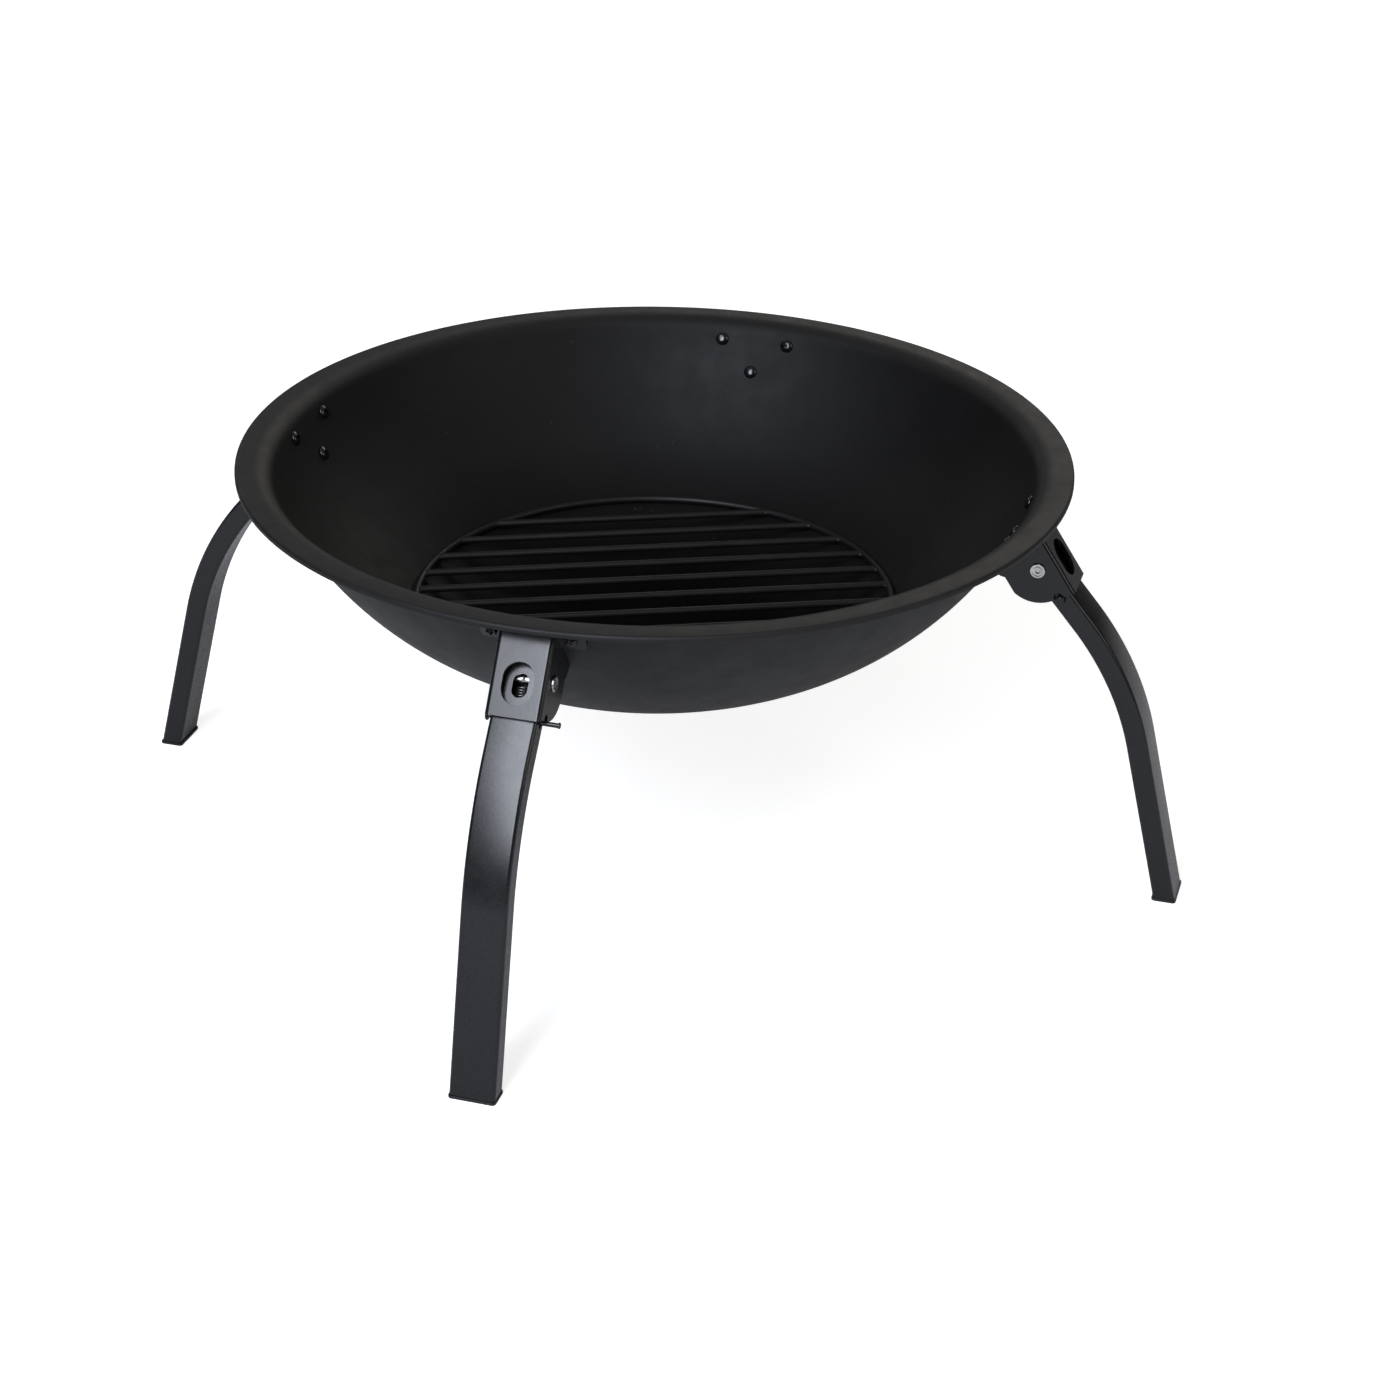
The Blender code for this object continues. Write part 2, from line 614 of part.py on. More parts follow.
def least_gap(points, radius, apart):
    """Least clear distance between stretches of a wire that lie more than some points apart."""
    fine = []
    for start, end in zip(points[:-1], points[1:]):
        steps = [np.array(start) + (np.array(end) - np.array(start)) * i / 4 for i in range(4)]
        fine += steps
    fine = np.array(fine)
    far = 4 * apart
    best = math.inf
    for index in range(len(fine) - far):
        distance = np.linalg.norm(fine[index + far:] - fine[index], axis=1).min()
        best = min(best, distance - 2 * radius)
    return best


def make_spring():
    """The extension spring that draws the lock pin towards the pivot."""
    points = spring_points()
    gap = least_gap(points, SPRING_WIRE, POINTS_PER_CURL // 2)
    print(f"lock spring: least gap to itself {gap / MM:.2f} mm, wanted over {LEAST_SPRING_GAP / MM:.2f} mm")
    spring = wire("lock_spring", points, SPRING_WIRE, 1, frame(THIGH, THIGH_FACE, PIVOT))
    return settle(spring, PIVOT)


# Bracket

def web_point(down, out):
    """(Radius, height) of a point given from the pivot, down along the web and out square to it."""
    point = PIVOT + WEB_DOWN * down + WEB_FACE * out
    return point.x, point.z


def ear_outline():
    """Side view of the bracket, run past the bowl's wall, where the bowl's space cuts it off."""
    top = RIM_HEIGHT - BRACKET_TOP_DROP
    lean = math.tan(BRACKET_LEAN)
    web_low = web_point(WEB_REACH, WEB_OUT)
    web_top = (web_low[0] - (top - web_low[1]) * lean, top)
    notch_side = NOTCH_DISTANCE * math.sin(LEG_SPREAD)
    rim_start = math.asin(notch_side / EAR_RIM)
    rim_end = -math.asin(min(EAR_BACK, EAR_RIM) / EAR_RIM)
    rim = [web_point(EAR_RIM * math.cos(a), EAR_RIM * math.sin(a))
           for a in (rim_start + (rim_end - rim_start) * i / RIM_STEPS for i in range(RIM_STEPS + 1))]
    step_low = web_point(-EAR_STEP_RISE, -EAR_BACK)
    step_high = web_point(-EAR_STEP_RISE - EAR_STEP, -EAR_BACK - EAR_STEP)
    step_angle = math.atan2(step_high[0] - DISH_CENTRE[0], DISH_CENTRE[1] - step_high[1])
    wall = dish_point(step_angle, -PIVOT_STANDOFF)
    front = [web_top, web_low, web_point(EAR_REACH, notch_side)]
    return front + rim + [step_low, step_high, wall, (wall[0], top)]


def channel_outline():
    """Section of the bracket's channel as (out from the pivot, tangent) points, with round outer bends."""
    back = -2 * EAR_BACK
    inner_bend = max(BRACKET_BEND - BRACKET_SHEET, GAP)
    outer_centre = (WEB_OUT - BRACKET_BEND, EAR_OUTSIDE - BRACKET_BEND)
    outer = arc(outer_centre, BRACKET_BEND, math.pi / 2, 0, BEND_STEPS)
    inner = arc((WEB_INSIDE - inner_bend, EAR_INSIDE - inner_bend), inner_bend, 0, math.pi / 2, CORNER_STEPS)
    half = [(back, EAR_OUTSIDE)] + outer
    inside = inner + [(back, EAR_INSIDE)]
    return (half + [(x, -y) for x, y in reversed(half)] + [(x, -y) for x, y in reversed(inside)] + inside)


def make_bracket():
    """One bent bracket: web, two ears, a back plate between them and a flange outside each."""
    channel_length = 6 * WEB_REACH
    placing = frame(WEB_FACE, TANGENT, PIVOT)
    bracket = plate("bracket", channel_outline(), channel_length, placing)
    combine(bracket, plate("ear_outline", ear_outline(), 3 * EAR_OUTSIDE, side_view()), "INTERSECT")
    seat = Matrix.Translation((0, 0, -GAP - BRACKET_SHEET / 2))
    frames = bolt_frames()
    bolt_side = dish_point(UPPER_BOLT_ANGLE)[0] * math.sin(BOLT_AZIMUTH)
    inward = bolt_side - (EAR_INSIDE + EAR_OUTSIDE) / 2
    for placing, side in zip(frames[:2], (-1, 1)):
        flange = rounded_box((-inward, -FLANGE_BELOW_BOLT), (FLANGE_REACH, FLANGE_ABOVE_BOLT), FLANGE_CORNER)
        flange = [(side * x, y) for x, y in flange]
        combine(bracket, plate("flange", flange, BRACKET_SHEET, placing @ seat), "UNION")
    across = (EAR_INSIDE + EAR_OUTSIDE) / 2
    back = [(-across, -BACK_PLATE_BELOW_BOLT), (across, -BACK_PLATE_BELOW_BOLT),
            (across, BACK_PLATE_ABOVE_BOLT), (-across, BACK_PLATE_ABOVE_BOLT)]
    combine(bracket, plate("back_plate", back, BRACKET_SHEET, frames[2] @ seat), "UNION")
    combine(bracket, bowl_clearance(), "DIFFERENCE")
    for placing in frames:
        combine(bracket, bolt_hole(BRACKET_SHEET, placing), "DIFFERENCE")
    across_ears = frame((1, 0, 0), (0, 0, 1), PIVOT)
    reach = 2 * EAR_OUTSIDE
    pivot_hole = rod("pivot_hole", BARREL_RADIUS + GAP, -reach, reach, FINE_SIDES, across_ears)
    combine(bracket, pivot_hole, "DIFFERENCE")
    across_ears.translation = PIVOT + THIGH * NOTCH_DISTANCE
    notch = rod("notch", NOTCH_RADIUS, -reach, reach, ROUND_SIDES, across_ears)
    combine(bracket, notch, "DIFFERENCE")
    width, length = WEB_HOLE
    ends = (length - width) / 2
    hole = slot_outline((WEB_HOLE_DROP - ends, 0), (WEB_HOLE_DROP + ends, 0), width / 2)
    face = frame(WEB_DOWN, TANGENT, PIVOT + WEB_FACE * WEB_OUT)
    combine(bracket, plate("web_hole", hole, 3 * BRACKET_SHEET, face), "DIFFERENCE")
    return settle(bracket)


def make_bolt():
    """A button-head bolt whose head lies inside the bowl, in the frame of its hole."""
    seat = BOWL_SHEET + GAP + FACET_RISE
    top = seat + BOLT_HEAD_HEIGHT
    end = -(2 * GAP + BRACKET_SHEET + NUT_HEIGHT + BOLT_END)
    shoulder = BOLT_HEAD_RADIUS - BOLT_HEAD_HEIGHT
    profile = [(0, top), (shoulder, top), (BOLT_HEAD_RADIUS, top - BOLT_HEAD_HEIGHT / 2),
               (BOLT_HEAD_RADIUS, seat), (BOLT_RADIUS, seat), (BOLT_RADIUS, end), (0, end)]
    placing = Matrix.Identity(4)
    bolt = turned("bolt", profile, ROUND_SIDES, placing)
    corner = BOLT_SOCKET / 2 / math.cos(math.pi / 6)
    socket = rod("socket", corner, top - BOLT_SOCKET_DEPTH, top + BOLT_SOCKET_DEPTH, 6, placing)
    combine(bolt, socket, "DIFFERENCE")
    return settle(bolt)


def make_nut():
    """A hexagon nut under the bracket's plate, in the frame of its bolt's hole."""
    top = -(2 * GAP + BRACKET_SHEET)
    placing = Matrix.Identity(4)
    corner = NUT_FLATS / 2 / math.cos(math.pi / 6)
    nut = rod("nut", corner, top - NUT_HEIGHT, top, 6, placing)
    bore = rod("bore", BOLT_RADIUS + GAP, top - 2 * NUT_HEIGHT, top + NUT_HEIGHT, ROUND_SIDES, placing)
    combine(nut, bore, "DIFFERENCE")
    return settle(nut)


# The whole fire bowl

clear_scene()
parts = collection("fire_bowl")
guides = collection("cutters")

black_steel = material("black_painted_steel", (0.012, 0.012, 0.013), 0.45, 0.0)
warm_black = material("heat_resistant_black", (0.014, 0.013, 0.012), 0.6, 0.0)
zinc = material("bright_zinc", (0.7, 0.7, 0.72), 0.3, 1.0)
dark_steel = material("black_oxide_steel", (0.02, 0.02, 0.022), 0.35, 0.8)
spring_steel = material("spring_steel", (0.45, 0.45, 0.47), 0.3, 1.0)
black_plastic = material("black_plastic", (0.02, 0.02, 0.02), 0.5, 0.0)

make_bowl(warm_black)
make_grate(warm_black)

at_pivot = Matrix.Translation(PIVOT)
at_pin = Matrix.Translation(PIN)

# Each row is a sub-part of a station: its name, mesh, finish and place
station_parts = [
    ("bracket", make_bracket(), black_steel, Matrix.Identity(4)),
    ("pivot_barrel", make_pivot_barrel(), zinc, at_pivot),
    ("pivot_screw", make_pivot_screw(), zinc, at_pivot),
    ("leg", make_leg(), black_steel, at_pivot),
    ("foot_cap", make_foot_cap(), black_plastic, at_pivot),
    ("lock_spring", make_spring(), spring_steel, at_pivot),
    ("lock_pin", make_lock_pin(), dark_steel, at_pin),
]
bolt_mesh = make_bolt()
nut_mesh = make_nut()
for spot, bolt_place in zip(BOLT_SPOTS, bolt_frames()):
    station_parts.append((f"{spot}_bolt", bolt_mesh, dark_steel, bolt_place))
    station_parts.append((f"{spot}_nut", nut_mesh, dark_steel, bolt_place))

for number, station in enumerate(STATIONS):
    hub = bpy.data.objects.new(f"{station}_station", None)
    parts.objects.link(hub)
    hub.rotation_euler = (0, 0, number * math.tau / len(STATIONS))
    for part_name, part_mesh, part_finish, part_place in station_parts:
        place(f"{station}_{part_name}", part_mesh, part_finish, hub, part_place)

print(f"pivot: radius {PIVOT.x / MM:.1f} mm, height {PIVOT.z / MM:.1f} mm")
print(f"lock pin: radius {PIN.x / MM:.1f} mm, height {PIN.z / MM:.1f} mm")
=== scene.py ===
"""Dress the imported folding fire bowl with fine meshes, finishes, soft light and the photograph's camera.

Each sub-assembly is a class that models its pieces at their real size, in metres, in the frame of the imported
part. The station on +X is modelled once and turned onto the other three.
"""

import json
import logging
import math
from collections.abc import Callable, Iterator, Sequence
from contextlib import contextmanager
from dataclasses import dataclass, field
from enum import Enum
from itertools import pairwise

import bmesh
import bpy
from mathutils import Matrix, Quaternion, Vector


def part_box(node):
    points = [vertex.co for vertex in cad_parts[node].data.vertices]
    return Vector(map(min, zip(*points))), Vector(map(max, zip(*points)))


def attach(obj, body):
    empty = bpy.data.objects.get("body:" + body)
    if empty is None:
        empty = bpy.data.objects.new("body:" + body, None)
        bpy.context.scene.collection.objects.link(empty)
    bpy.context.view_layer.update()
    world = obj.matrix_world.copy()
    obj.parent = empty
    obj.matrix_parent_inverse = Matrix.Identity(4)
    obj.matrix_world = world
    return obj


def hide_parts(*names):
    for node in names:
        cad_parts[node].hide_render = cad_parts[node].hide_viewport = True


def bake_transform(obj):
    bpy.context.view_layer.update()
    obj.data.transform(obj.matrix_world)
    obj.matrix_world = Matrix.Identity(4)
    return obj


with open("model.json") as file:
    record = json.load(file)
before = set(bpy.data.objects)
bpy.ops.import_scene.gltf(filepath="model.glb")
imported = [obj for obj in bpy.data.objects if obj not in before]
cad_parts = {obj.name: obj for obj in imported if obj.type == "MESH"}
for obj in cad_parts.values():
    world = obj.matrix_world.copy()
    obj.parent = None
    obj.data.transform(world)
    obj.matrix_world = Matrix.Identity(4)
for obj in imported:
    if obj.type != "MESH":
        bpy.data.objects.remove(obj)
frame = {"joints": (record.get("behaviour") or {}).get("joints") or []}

LOG = logging.getLogger("fire_bowl")
ROOT = "bowl_and_brackets"
MM = 0.001
GAP = 0.3 * MM
WELD = 0.001 * MM

Point = tuple[float, float]
Triple = tuple[float, float, float]
Colour = tuple[float, float, float]


class Slot(Enum):
    """The record's material slots."""

    HEAT_BLACK = "heat_resistant_black"
    BLACK_STEEL = "black_steel"
    ZINC = "bright_zinc"
    DARK_STEEL = "dark_steel"
    SPRING_STEEL = "spring_steel"
    PLASTIC = "black_plastic"


class Station(Enum):
    """The four legs, by the quarter turn that brings them from +X."""

    RIGHT = 0
    BACK = 1
    LEFT = 2
    FRONT = 3

    @property
    def label(self) -> str:
        """The name that the station's nodes begin with."""
        return self.name.lower()

    @property
    def turn(self) -> Matrix:
        """The turn about the bowl's axis from +X."""
        return Matrix.Rotation(self.value * math.pi / 2, 4, "Z")


# Workshop


def clear_selection() -> None:
    """Leave edit mode and deselect every object."""
    if bpy.context.object and bpy.context.object.mode != "OBJECT":
        bpy.ops.object.mode_set(mode="OBJECT")
    bpy.ops.object.select_all(action="DESELECT")


def take(obj: bpy.types.Object) -> bpy.types.Object:
    """Select one object alone and make it the active one.

    Args:
        obj: The object to work on.

    Returns:
        The same object.
    """
    clear_selection()
    obj.select_set(True)
    bpy.context.view_layer.objects.active = obj
    return obj


@contextmanager
def editing(obj: bpy.types.Object, kind: str = "VERT", everything: bool = False) -> Iterator[None]:
    """Work on an object in edit mode.

    Args:
        obj: The object to edit.
        kind: What is selected there: VERT, EDGE or FACE.
        everything: Start with all of it selected, not with nothing.

    Yields:
        Nothing; edit mode is left at the end.
    """
    take(obj)
    bpy.ops.object.mode_set(mode="EDIT")
    bpy.ops.mesh.select_mode(type=kind)
    bpy.ops.mesh.select_all(action="SELECT" if everything else "DESELECT")
    yield
    bpy.ops.object.mode_set(mode="OBJECT")


def select_edges(obj: bpy.types.Object, test: Callable[[Vector, Vector], bool]) -> None:
    """Select the edges whose ends pass a test.

    Args:
        obj: The object in edit mode.
        test: Takes an edge's two ends.
    """
    mesh = bmesh.from_edit_mesh(obj.data)
    for edge in mesh.edges:
        if test(edge.verts[0].co, edge.verts[1].co):
            edge.select_set(True)
    bmesh.update_edit_mesh(obj.data)


def select_points(obj: bpy.types.Object, test: Callable[[Vector], bool]) -> None:
    """Select the points whose place passes a test.

    Args:
        obj: The object in edit mode.
        test: Takes a point's place.
    """
    mesh = bmesh.from_edit_mesh(obj.data)
    for vertex in mesh.verts:
        if test(vertex.co):
            vertex.select_set(True)
    bmesh.update_edit_mesh(obj.data)


def select_faces(obj: bpy.types.Object, test: Callable[[Vector], bool]) -> None:
    """Select the faces whose normal passes a test.

    Args:
        obj: The object in edit mode.
        test: Takes a face's normal.
    """
    mesh = bmesh.from_edit_mesh(obj.data)
    mesh.normal_update()
    for face in mesh.faces:
        if test(face.normal):
            face.select_set(True)
    bmesh.update_edit_mesh(obj.data)


def put(obj: bpy.types.Object, placing: Matrix) -> bpy.types.Object:
    """Move an object's mesh to its place, so that the object itself stays at the origin.

    Args:
        obj: The object, modelled about the origin.
        placing: Where it goes.

    Returns:
        The same object.
    """
    take(obj)
    obj.matrix_world = placing @ obj.matrix_world
    bpy.ops.object.transform_apply(location=True, rotation=True, scale=True)
    return obj


def copy_to(pattern: bpy.types.Object, placing: Matrix) -> bpy.types.Object:
    """Copy an object with its own mesh and move that mesh.

    Args:
        pattern: The object to copy.
        placing: How the copy's mesh is moved.

    Returns:
        The copy.
    """
    piece = pattern.copy()
    piece.data = pattern.data.copy()
    bpy.context.scene.collection.objects.link(piece)
    piece.data.transform(placing)
    return piece


def square(x_axis: Vector, y_axis: Vector, origin: Vector) -> Matrix:
    """A placing from two square axes.

    Args:
        x_axis: Where local X points.
        y_axis: Where local Y points.
        origin: Where the local origin goes.

    Returns:
        The placing matrix, whose Z is X cross Y.
    """
    x_axis = x_axis.normalized()
    y_axis = y_axis.normalized()
    matrix = Matrix((x_axis, y_axis, x_axis.cross(y_axis))).transposed().to_4x4()
    matrix.translation = origin
    return matrix


def apply_modifier(obj: bpy.types.Object, kind: str, **settings: object) -> None:
    """Add a modifier with its settings and apply it.

    Args:
        obj: The object to change.
        kind: The modifier's type.
        **settings: Its properties by name.
    """
    take(obj)
    modifier = obj.modifiers.new(kind.lower(), kind)
    for name, value in settings.items():
        setattr(modifier, name, value)
    bpy.ops.object.modifier_apply(modifier=modifier.name)


def combine(obj: bpy.types.Object, tool: bpy.types.Object, operation: str = "DIFFERENCE") -> None:
    """Apply a Boolean and remove the tool.

    Args:
        obj: The object to change.
        tool: The object to cut, join or cross it with.
        operation: DIFFERENCE, UNION or INTERSECT.
    """
    apply_modifier(obj, "BOOLEAN", operation=operation, solver="EXACT", object=tool)
    bpy.data.objects.remove(tool)


def break_edges(obj: bpy.types.Object, width: float, segments: int, angle: float) -> None:
    """Take the sharpness off edges, as deburring and paint do.

    Args:
        obj: The object to change.
        width: Width of the round.
        segments: Faces across it.
        angle: Edges sharper than this many degrees are rounded.
    """
    with editing(obj, everything=True):
        bpy.ops.mesh.remove_doubles(threshold=WELD)
        bpy.ops.mesh.dissolve_limited(angle_limit=math.radians(0.5))
    apply_modifier(obj, "BEVEL", width=width, segments=segments, limit_method="ANGLE",
                   angle_limit=math.radians(angle), miter_outer="MITER_ARC")


def face_up(obj: bpy.types.Object, distance: Callable[[Vector], float]) -> None:
    """Turn an open surface's normals over if they point down in its middle.

    Args:
        obj: The surface.
        distance: How far a place is from the surface's middle.
    """
    middle = min(obj.data.polygons, key=lambda face: distance(Vector(face.center)))
    if middle.normal.z < 0:
        with editing(obj, everything=True):
            bpy.ops.mesh.flip_normals()


def smooth(obj: bpy.types.Object, angle: float = 40, weighted: bool = True) -> bpy.types.Object:
    """Shade an object smooth except at edges sharper than an angle.

    Args:
        obj: The object to shade.
        angle: The angle in degrees.
        weighted: Keep large flat faces flat beside their rounded edges.

    Returns:
        The same object.
    """
    take(obj)
    bpy.ops.object.shade_smooth_by_angle(angle=math.radians(angle))
    if weighted:
        apply_modifier(obj, "WEIGHTED_NORMAL", keep_sharp=True, weight=60)
    return obj


def draw_line(name: str, points: Sequence[Triple], closed: bool = False) -> bpy.types.Object:
    """Draw a line of edges by extruding one vertex from point to point.

    Args:
        name: The object's name.
        points: Where it goes.
        closed: Join its end to its start.

    Returns:
        The object, with only edges.
    """
    clear_selection()
    bpy.ops.mesh.primitive_plane_add(size=MM, location=points[0])
    line = bpy.context.object
    line.name = name
    bpy.ops.object.transform_apply(location=True)
    with editing(line, everything=True):
        bpy.ops.mesh.merge(type="CENTER")
        for start, end in pairwise(points):
            step = Vector(end) - Vector(start)
            bpy.ops.mesh.extrude_vertices_move(TRANSFORM_OT_translate={"value": step})
        if closed:
            mesh = bmesh.from_edit_mesh(line.data)
            ends = [vertex for vertex in mesh.verts if len(vertex.link_edges) == 1]
            mesh.edges.new(ends)
            bmesh.update_edit_mesh(line.data)
    return line


def turn_profile(name: str, profile: Sequence[Point], steps: int, solid: bool = True) -> bpy.types.Object:
    """Spin a profile about Z.

    Args:
        name: The object's name.
        profile: Its (radius, height) points.
        steps: Faces round the axis.
        solid: The profile closes a solid, whose normals are then set to face out.

    Returns:
        The turned object.
    """
    piece = draw_line(name, [(radius, 0.0, height) for radius, height in profile])
    with editing(piece, everything=True):
        bpy.ops.mesh.spin(steps=steps, angle=math.tau, center=(0, 0, 0), axis=(0, 0, 1))
        bpy.ops.mesh.select_all(action="SELECT")
        bpy.ops.mesh.remove_doubles(threshold=2 * WELD)
        if solid:
            bpy.ops.mesh.normals_make_consistent(inside=False)
    return piece


def prism(name: str, outline: Sequence[Point], thickness: float, placing: Matrix) -> bpy.types.Object:
    """A flat outline given a thickness, half to each side of the placing's XY plane.

    Args:
        name: The object's name.
        outline: Its (x, y) points.
        thickness: Its thickness along Z.
        placing: Where it goes.

    Returns:
        The solid.
    """
    piece = draw_line(name, [(x, y, -thickness / 2) for x, y in outline], closed=True)
    with editing(piece, everything=True):
        bpy.ops.mesh.edge_face_add()
        bpy.ops.mesh.extrude_region_move(TRANSFORM_OT_translate={"value": (0, 0, thickness)})
        bpy.ops.mesh.select_all(action="SELECT")
        bpy.ops.mesh.normals_make_consistent(inside=False)
    return put(piece, placing)


def block(name: str, size: Triple, placing: Matrix, corner: float = 0.0,
          segments: int = 8) -> bpy.types.Object:
    """A block, with its four upright edges rounded if a corner radius is given.

    Args:
        name: The object's name.
        size: Its full sizes along its own axes.
        placing: Where its middle goes.
        corner: Radius of its upright edges.
        segments: Faces round each corner.

    Returns:
        The block.
    """
    clear_selection()
    bpy.ops.mesh.primitive_cube_add(size=1)
    piece = bpy.context.object
    piece.name = name
    piece.scale = size
    bpy.ops.object.transform_apply(scale=True)
    if corner:
        with editing(piece, "EDGE"):
            select_edges(piece, lambda a, b: abs((a - b).normalized().z) > 0.99)
            limit = min(size[0], size[1]) / 2 * 0.9999
            bpy.ops.mesh.bevel(offset=min(corner, limit), segments=segments, affect="EDGES")
            bpy.ops.mesh.select_all(action="SELECT")
            bpy.ops.mesh.remove_doubles(threshold=10 * WELD)
    return put(piece, placing)


def rod(name: str, radius: float, length: float, placing: Matrix, sides: int = 48) -> bpy.types.Object:
    """A round rod along the placing's Z, about its middle.

    Args:
        name: The object's name.
        radius: Its radius.
        length: Its length.
        placing: Where its middle goes.
        sides: Faces round it.

    Returns:
        The rod.
    """
    clear_selection()
    bpy.ops.mesh.primitive_cylinder_add(vertices=sides, radius=radius, depth=length)
    piece = bpy.context.object
    piece.name = name
    return put(piece, placing)


def corner_radius(flats: float) -> float:
    """Radius of a hexagon's corners, from its width over flats."""
    return flats / 2 / math.cos(math.pi / 6)


def arc(centre: Point, radius: float, start: float, end: float, steps: int) -> list[Point]:
    """Points along a circle, both ends included.

    Args:
        centre: The circle's centre.
        radius: Its radius.
        start: First angle in radians.
        end: Last angle in radians.
        steps: Stretches between them.

    Returns:
        The points.
    """
    angles = [start + (end - start) * i / steps for i in range(steps + 1)]
    return [(centre[0] + radius * math.cos(a), centre[1] + radius * math.sin(a)) for a in angles]


# Finishes


class NodeBench:
    """Builds the node tree of one material."""

    def __init__(self, name: str) -> None:
        """Start a material.

        Args:
            name: The material's name.
        """
        self.material = bpy.data.materials.new(name)
        self.material.use_nodes = True
        self.tree = self.material.node_tree
        self.shader = self.tree.nodes["Principled BSDF"]
        self.place = self.tree.nodes.new("ShaderNodeTexCoord").outputs["Object"]
        self.normal = self.tree.nodes.new("ShaderNodeNewGeometry").outputs["Normal"]

    def link(self, source: bpy.types.NodeSocket, target: bpy.types.NodeSocket) -> None:
        """Join two sockets."""
        self.tree.links.new(source, target)

    def noise(self, size: float, detail: float, roughness: float = 0.55,
              distortion: float = 0.0) -> bpy.types.NodeSocket:
        """A noise pattern.

        Args:
            size: Size of its largest blots in metres.
            detail: Octaves of finer noise.
            roughness: Strength of the finer noise.
            distortion: How far it is swirled.

        Returns:
            Its value, from 0 to 1 about 0.5.
        """
        node = self.tree.nodes.new("ShaderNodeTexNoise")
        node.inputs["Scale"].default_value = 1 / size
        node.inputs["Detail"].default_value = detail
        node.inputs["Roughness"].default_value = roughness
        node.inputs["Distortion"].default_value = distortion
        self.link(self.place, node.inputs["Vector"])
        return node.outputs["Fac"]

    def upward(self, source: bpy.types.NodeSocket) -> bpy.types.NodeSocket:
        """Take the upward part of a vector.

        Args:
            source: A place or a normal.

        Returns:
            Its Z.
        """
        node = self.tree.nodes.new("ShaderNodeSeparateXYZ")
        self.link(source, node.inputs["Vector"])
        return node.outputs["Z"]

    def ramp(self, value: bpy.types.NodeSocket, low: float, high: float,
             to_low: float = 0.0, to_high: float = 1.0) -> bpy.types.NodeSocket:
        """Map a value's stretch from low to high onto another, clamped.

        Args:
            value: The value to map.
            low: Where the stretch starts.
            high: Where it ends.
            to_low: What its start becomes.
            to_high: What its end becomes.

        Returns:
            The mapped value.
        """
        node = self.tree.nodes.new("ShaderNodeMapRange")
        node.inputs["From Min"].default_value = low
        node.inputs["From Max"].default_value = high
        node.inputs["To Min"].default_value = to_low
        node.inputs["To Max"].default_value = to_high
        self.link(value, node.inputs["Value"])
        return node.outputs["Result"]

    def multiply(self, first: bpy.types.NodeSocket, second: bpy.types.NodeSocket) -> bpy.types.NodeSocket:
        """Multiply two values.

        Args:
            first: One value.
            second: The other value.

        Returns:
            Their product.
        """
        node = self.tree.nodes.new("ShaderNodeMath")
        node.operation = "MULTIPLY"
        self.link(first, node.inputs[0])
        self.link(second, node.inputs[1])
        return node.outputs["Value"]

    def mix(self, amount: bpy.types.NodeSocket, first: bpy.types.NodeSocket | Colour,
            second: Colour) -> bpy.types.NodeSocket:
        """Blend two colours.

        Args:
            amount: Share of the second colour.
            first: A colour, or a socket that gives one.
            second: The other colour.

        Returns:
            The blended colour.
        """
        node = self.tree.nodes.new("ShaderNodeMix")
        node.data_type = "RGBA"
        self.link(amount, node.inputs["Factor"])
        if isinstance(first, tuple):
            node.inputs["A"].default_value = (*first, 1)
        else:
            self.link(first, node.inputs["A"])
        node.inputs["B"].default_value = (*second, 1)
        return node.outputs["Result"]

    def bump(self, height: bpy.types.NodeSocket, depth: float, strength: float = 1.0,
             under: bpy.types.NodeSocket | None = None) -> bpy.types.NodeSocket:
        """Relief from a height pattern.

        Args:
            height: The pattern, from 0 to 1.
            depth: Its depth in metres.
            strength: Share of the relief that shows.
            under: A coarser relief to lay it on.

        Returns:
            The bent normal.
        """
        node = self.tree.nodes.new("ShaderNodeBump")
        node.inputs["Strength"].default_value = strength
        node.inputs["Distance"].default_value = depth
        self.link(height, node.inputs["Height"])
        if under is not None:
            self.link(under, node.inputs["Normal"])
        return node.outputs["Normal"]

    def attach(self, name: str, source: bpy.types.NodeSocket) -> None:
        """Feed one of the shader's inputs."""
        self.link(source, self.shader.inputs[name])

    def put(self, **values: float) -> None:
        """Set the shader's own sockets, with spaces written as underscores."""
        for name, value in values.items():
            self.shader.inputs[name.replace("_", " ")].default_value = value


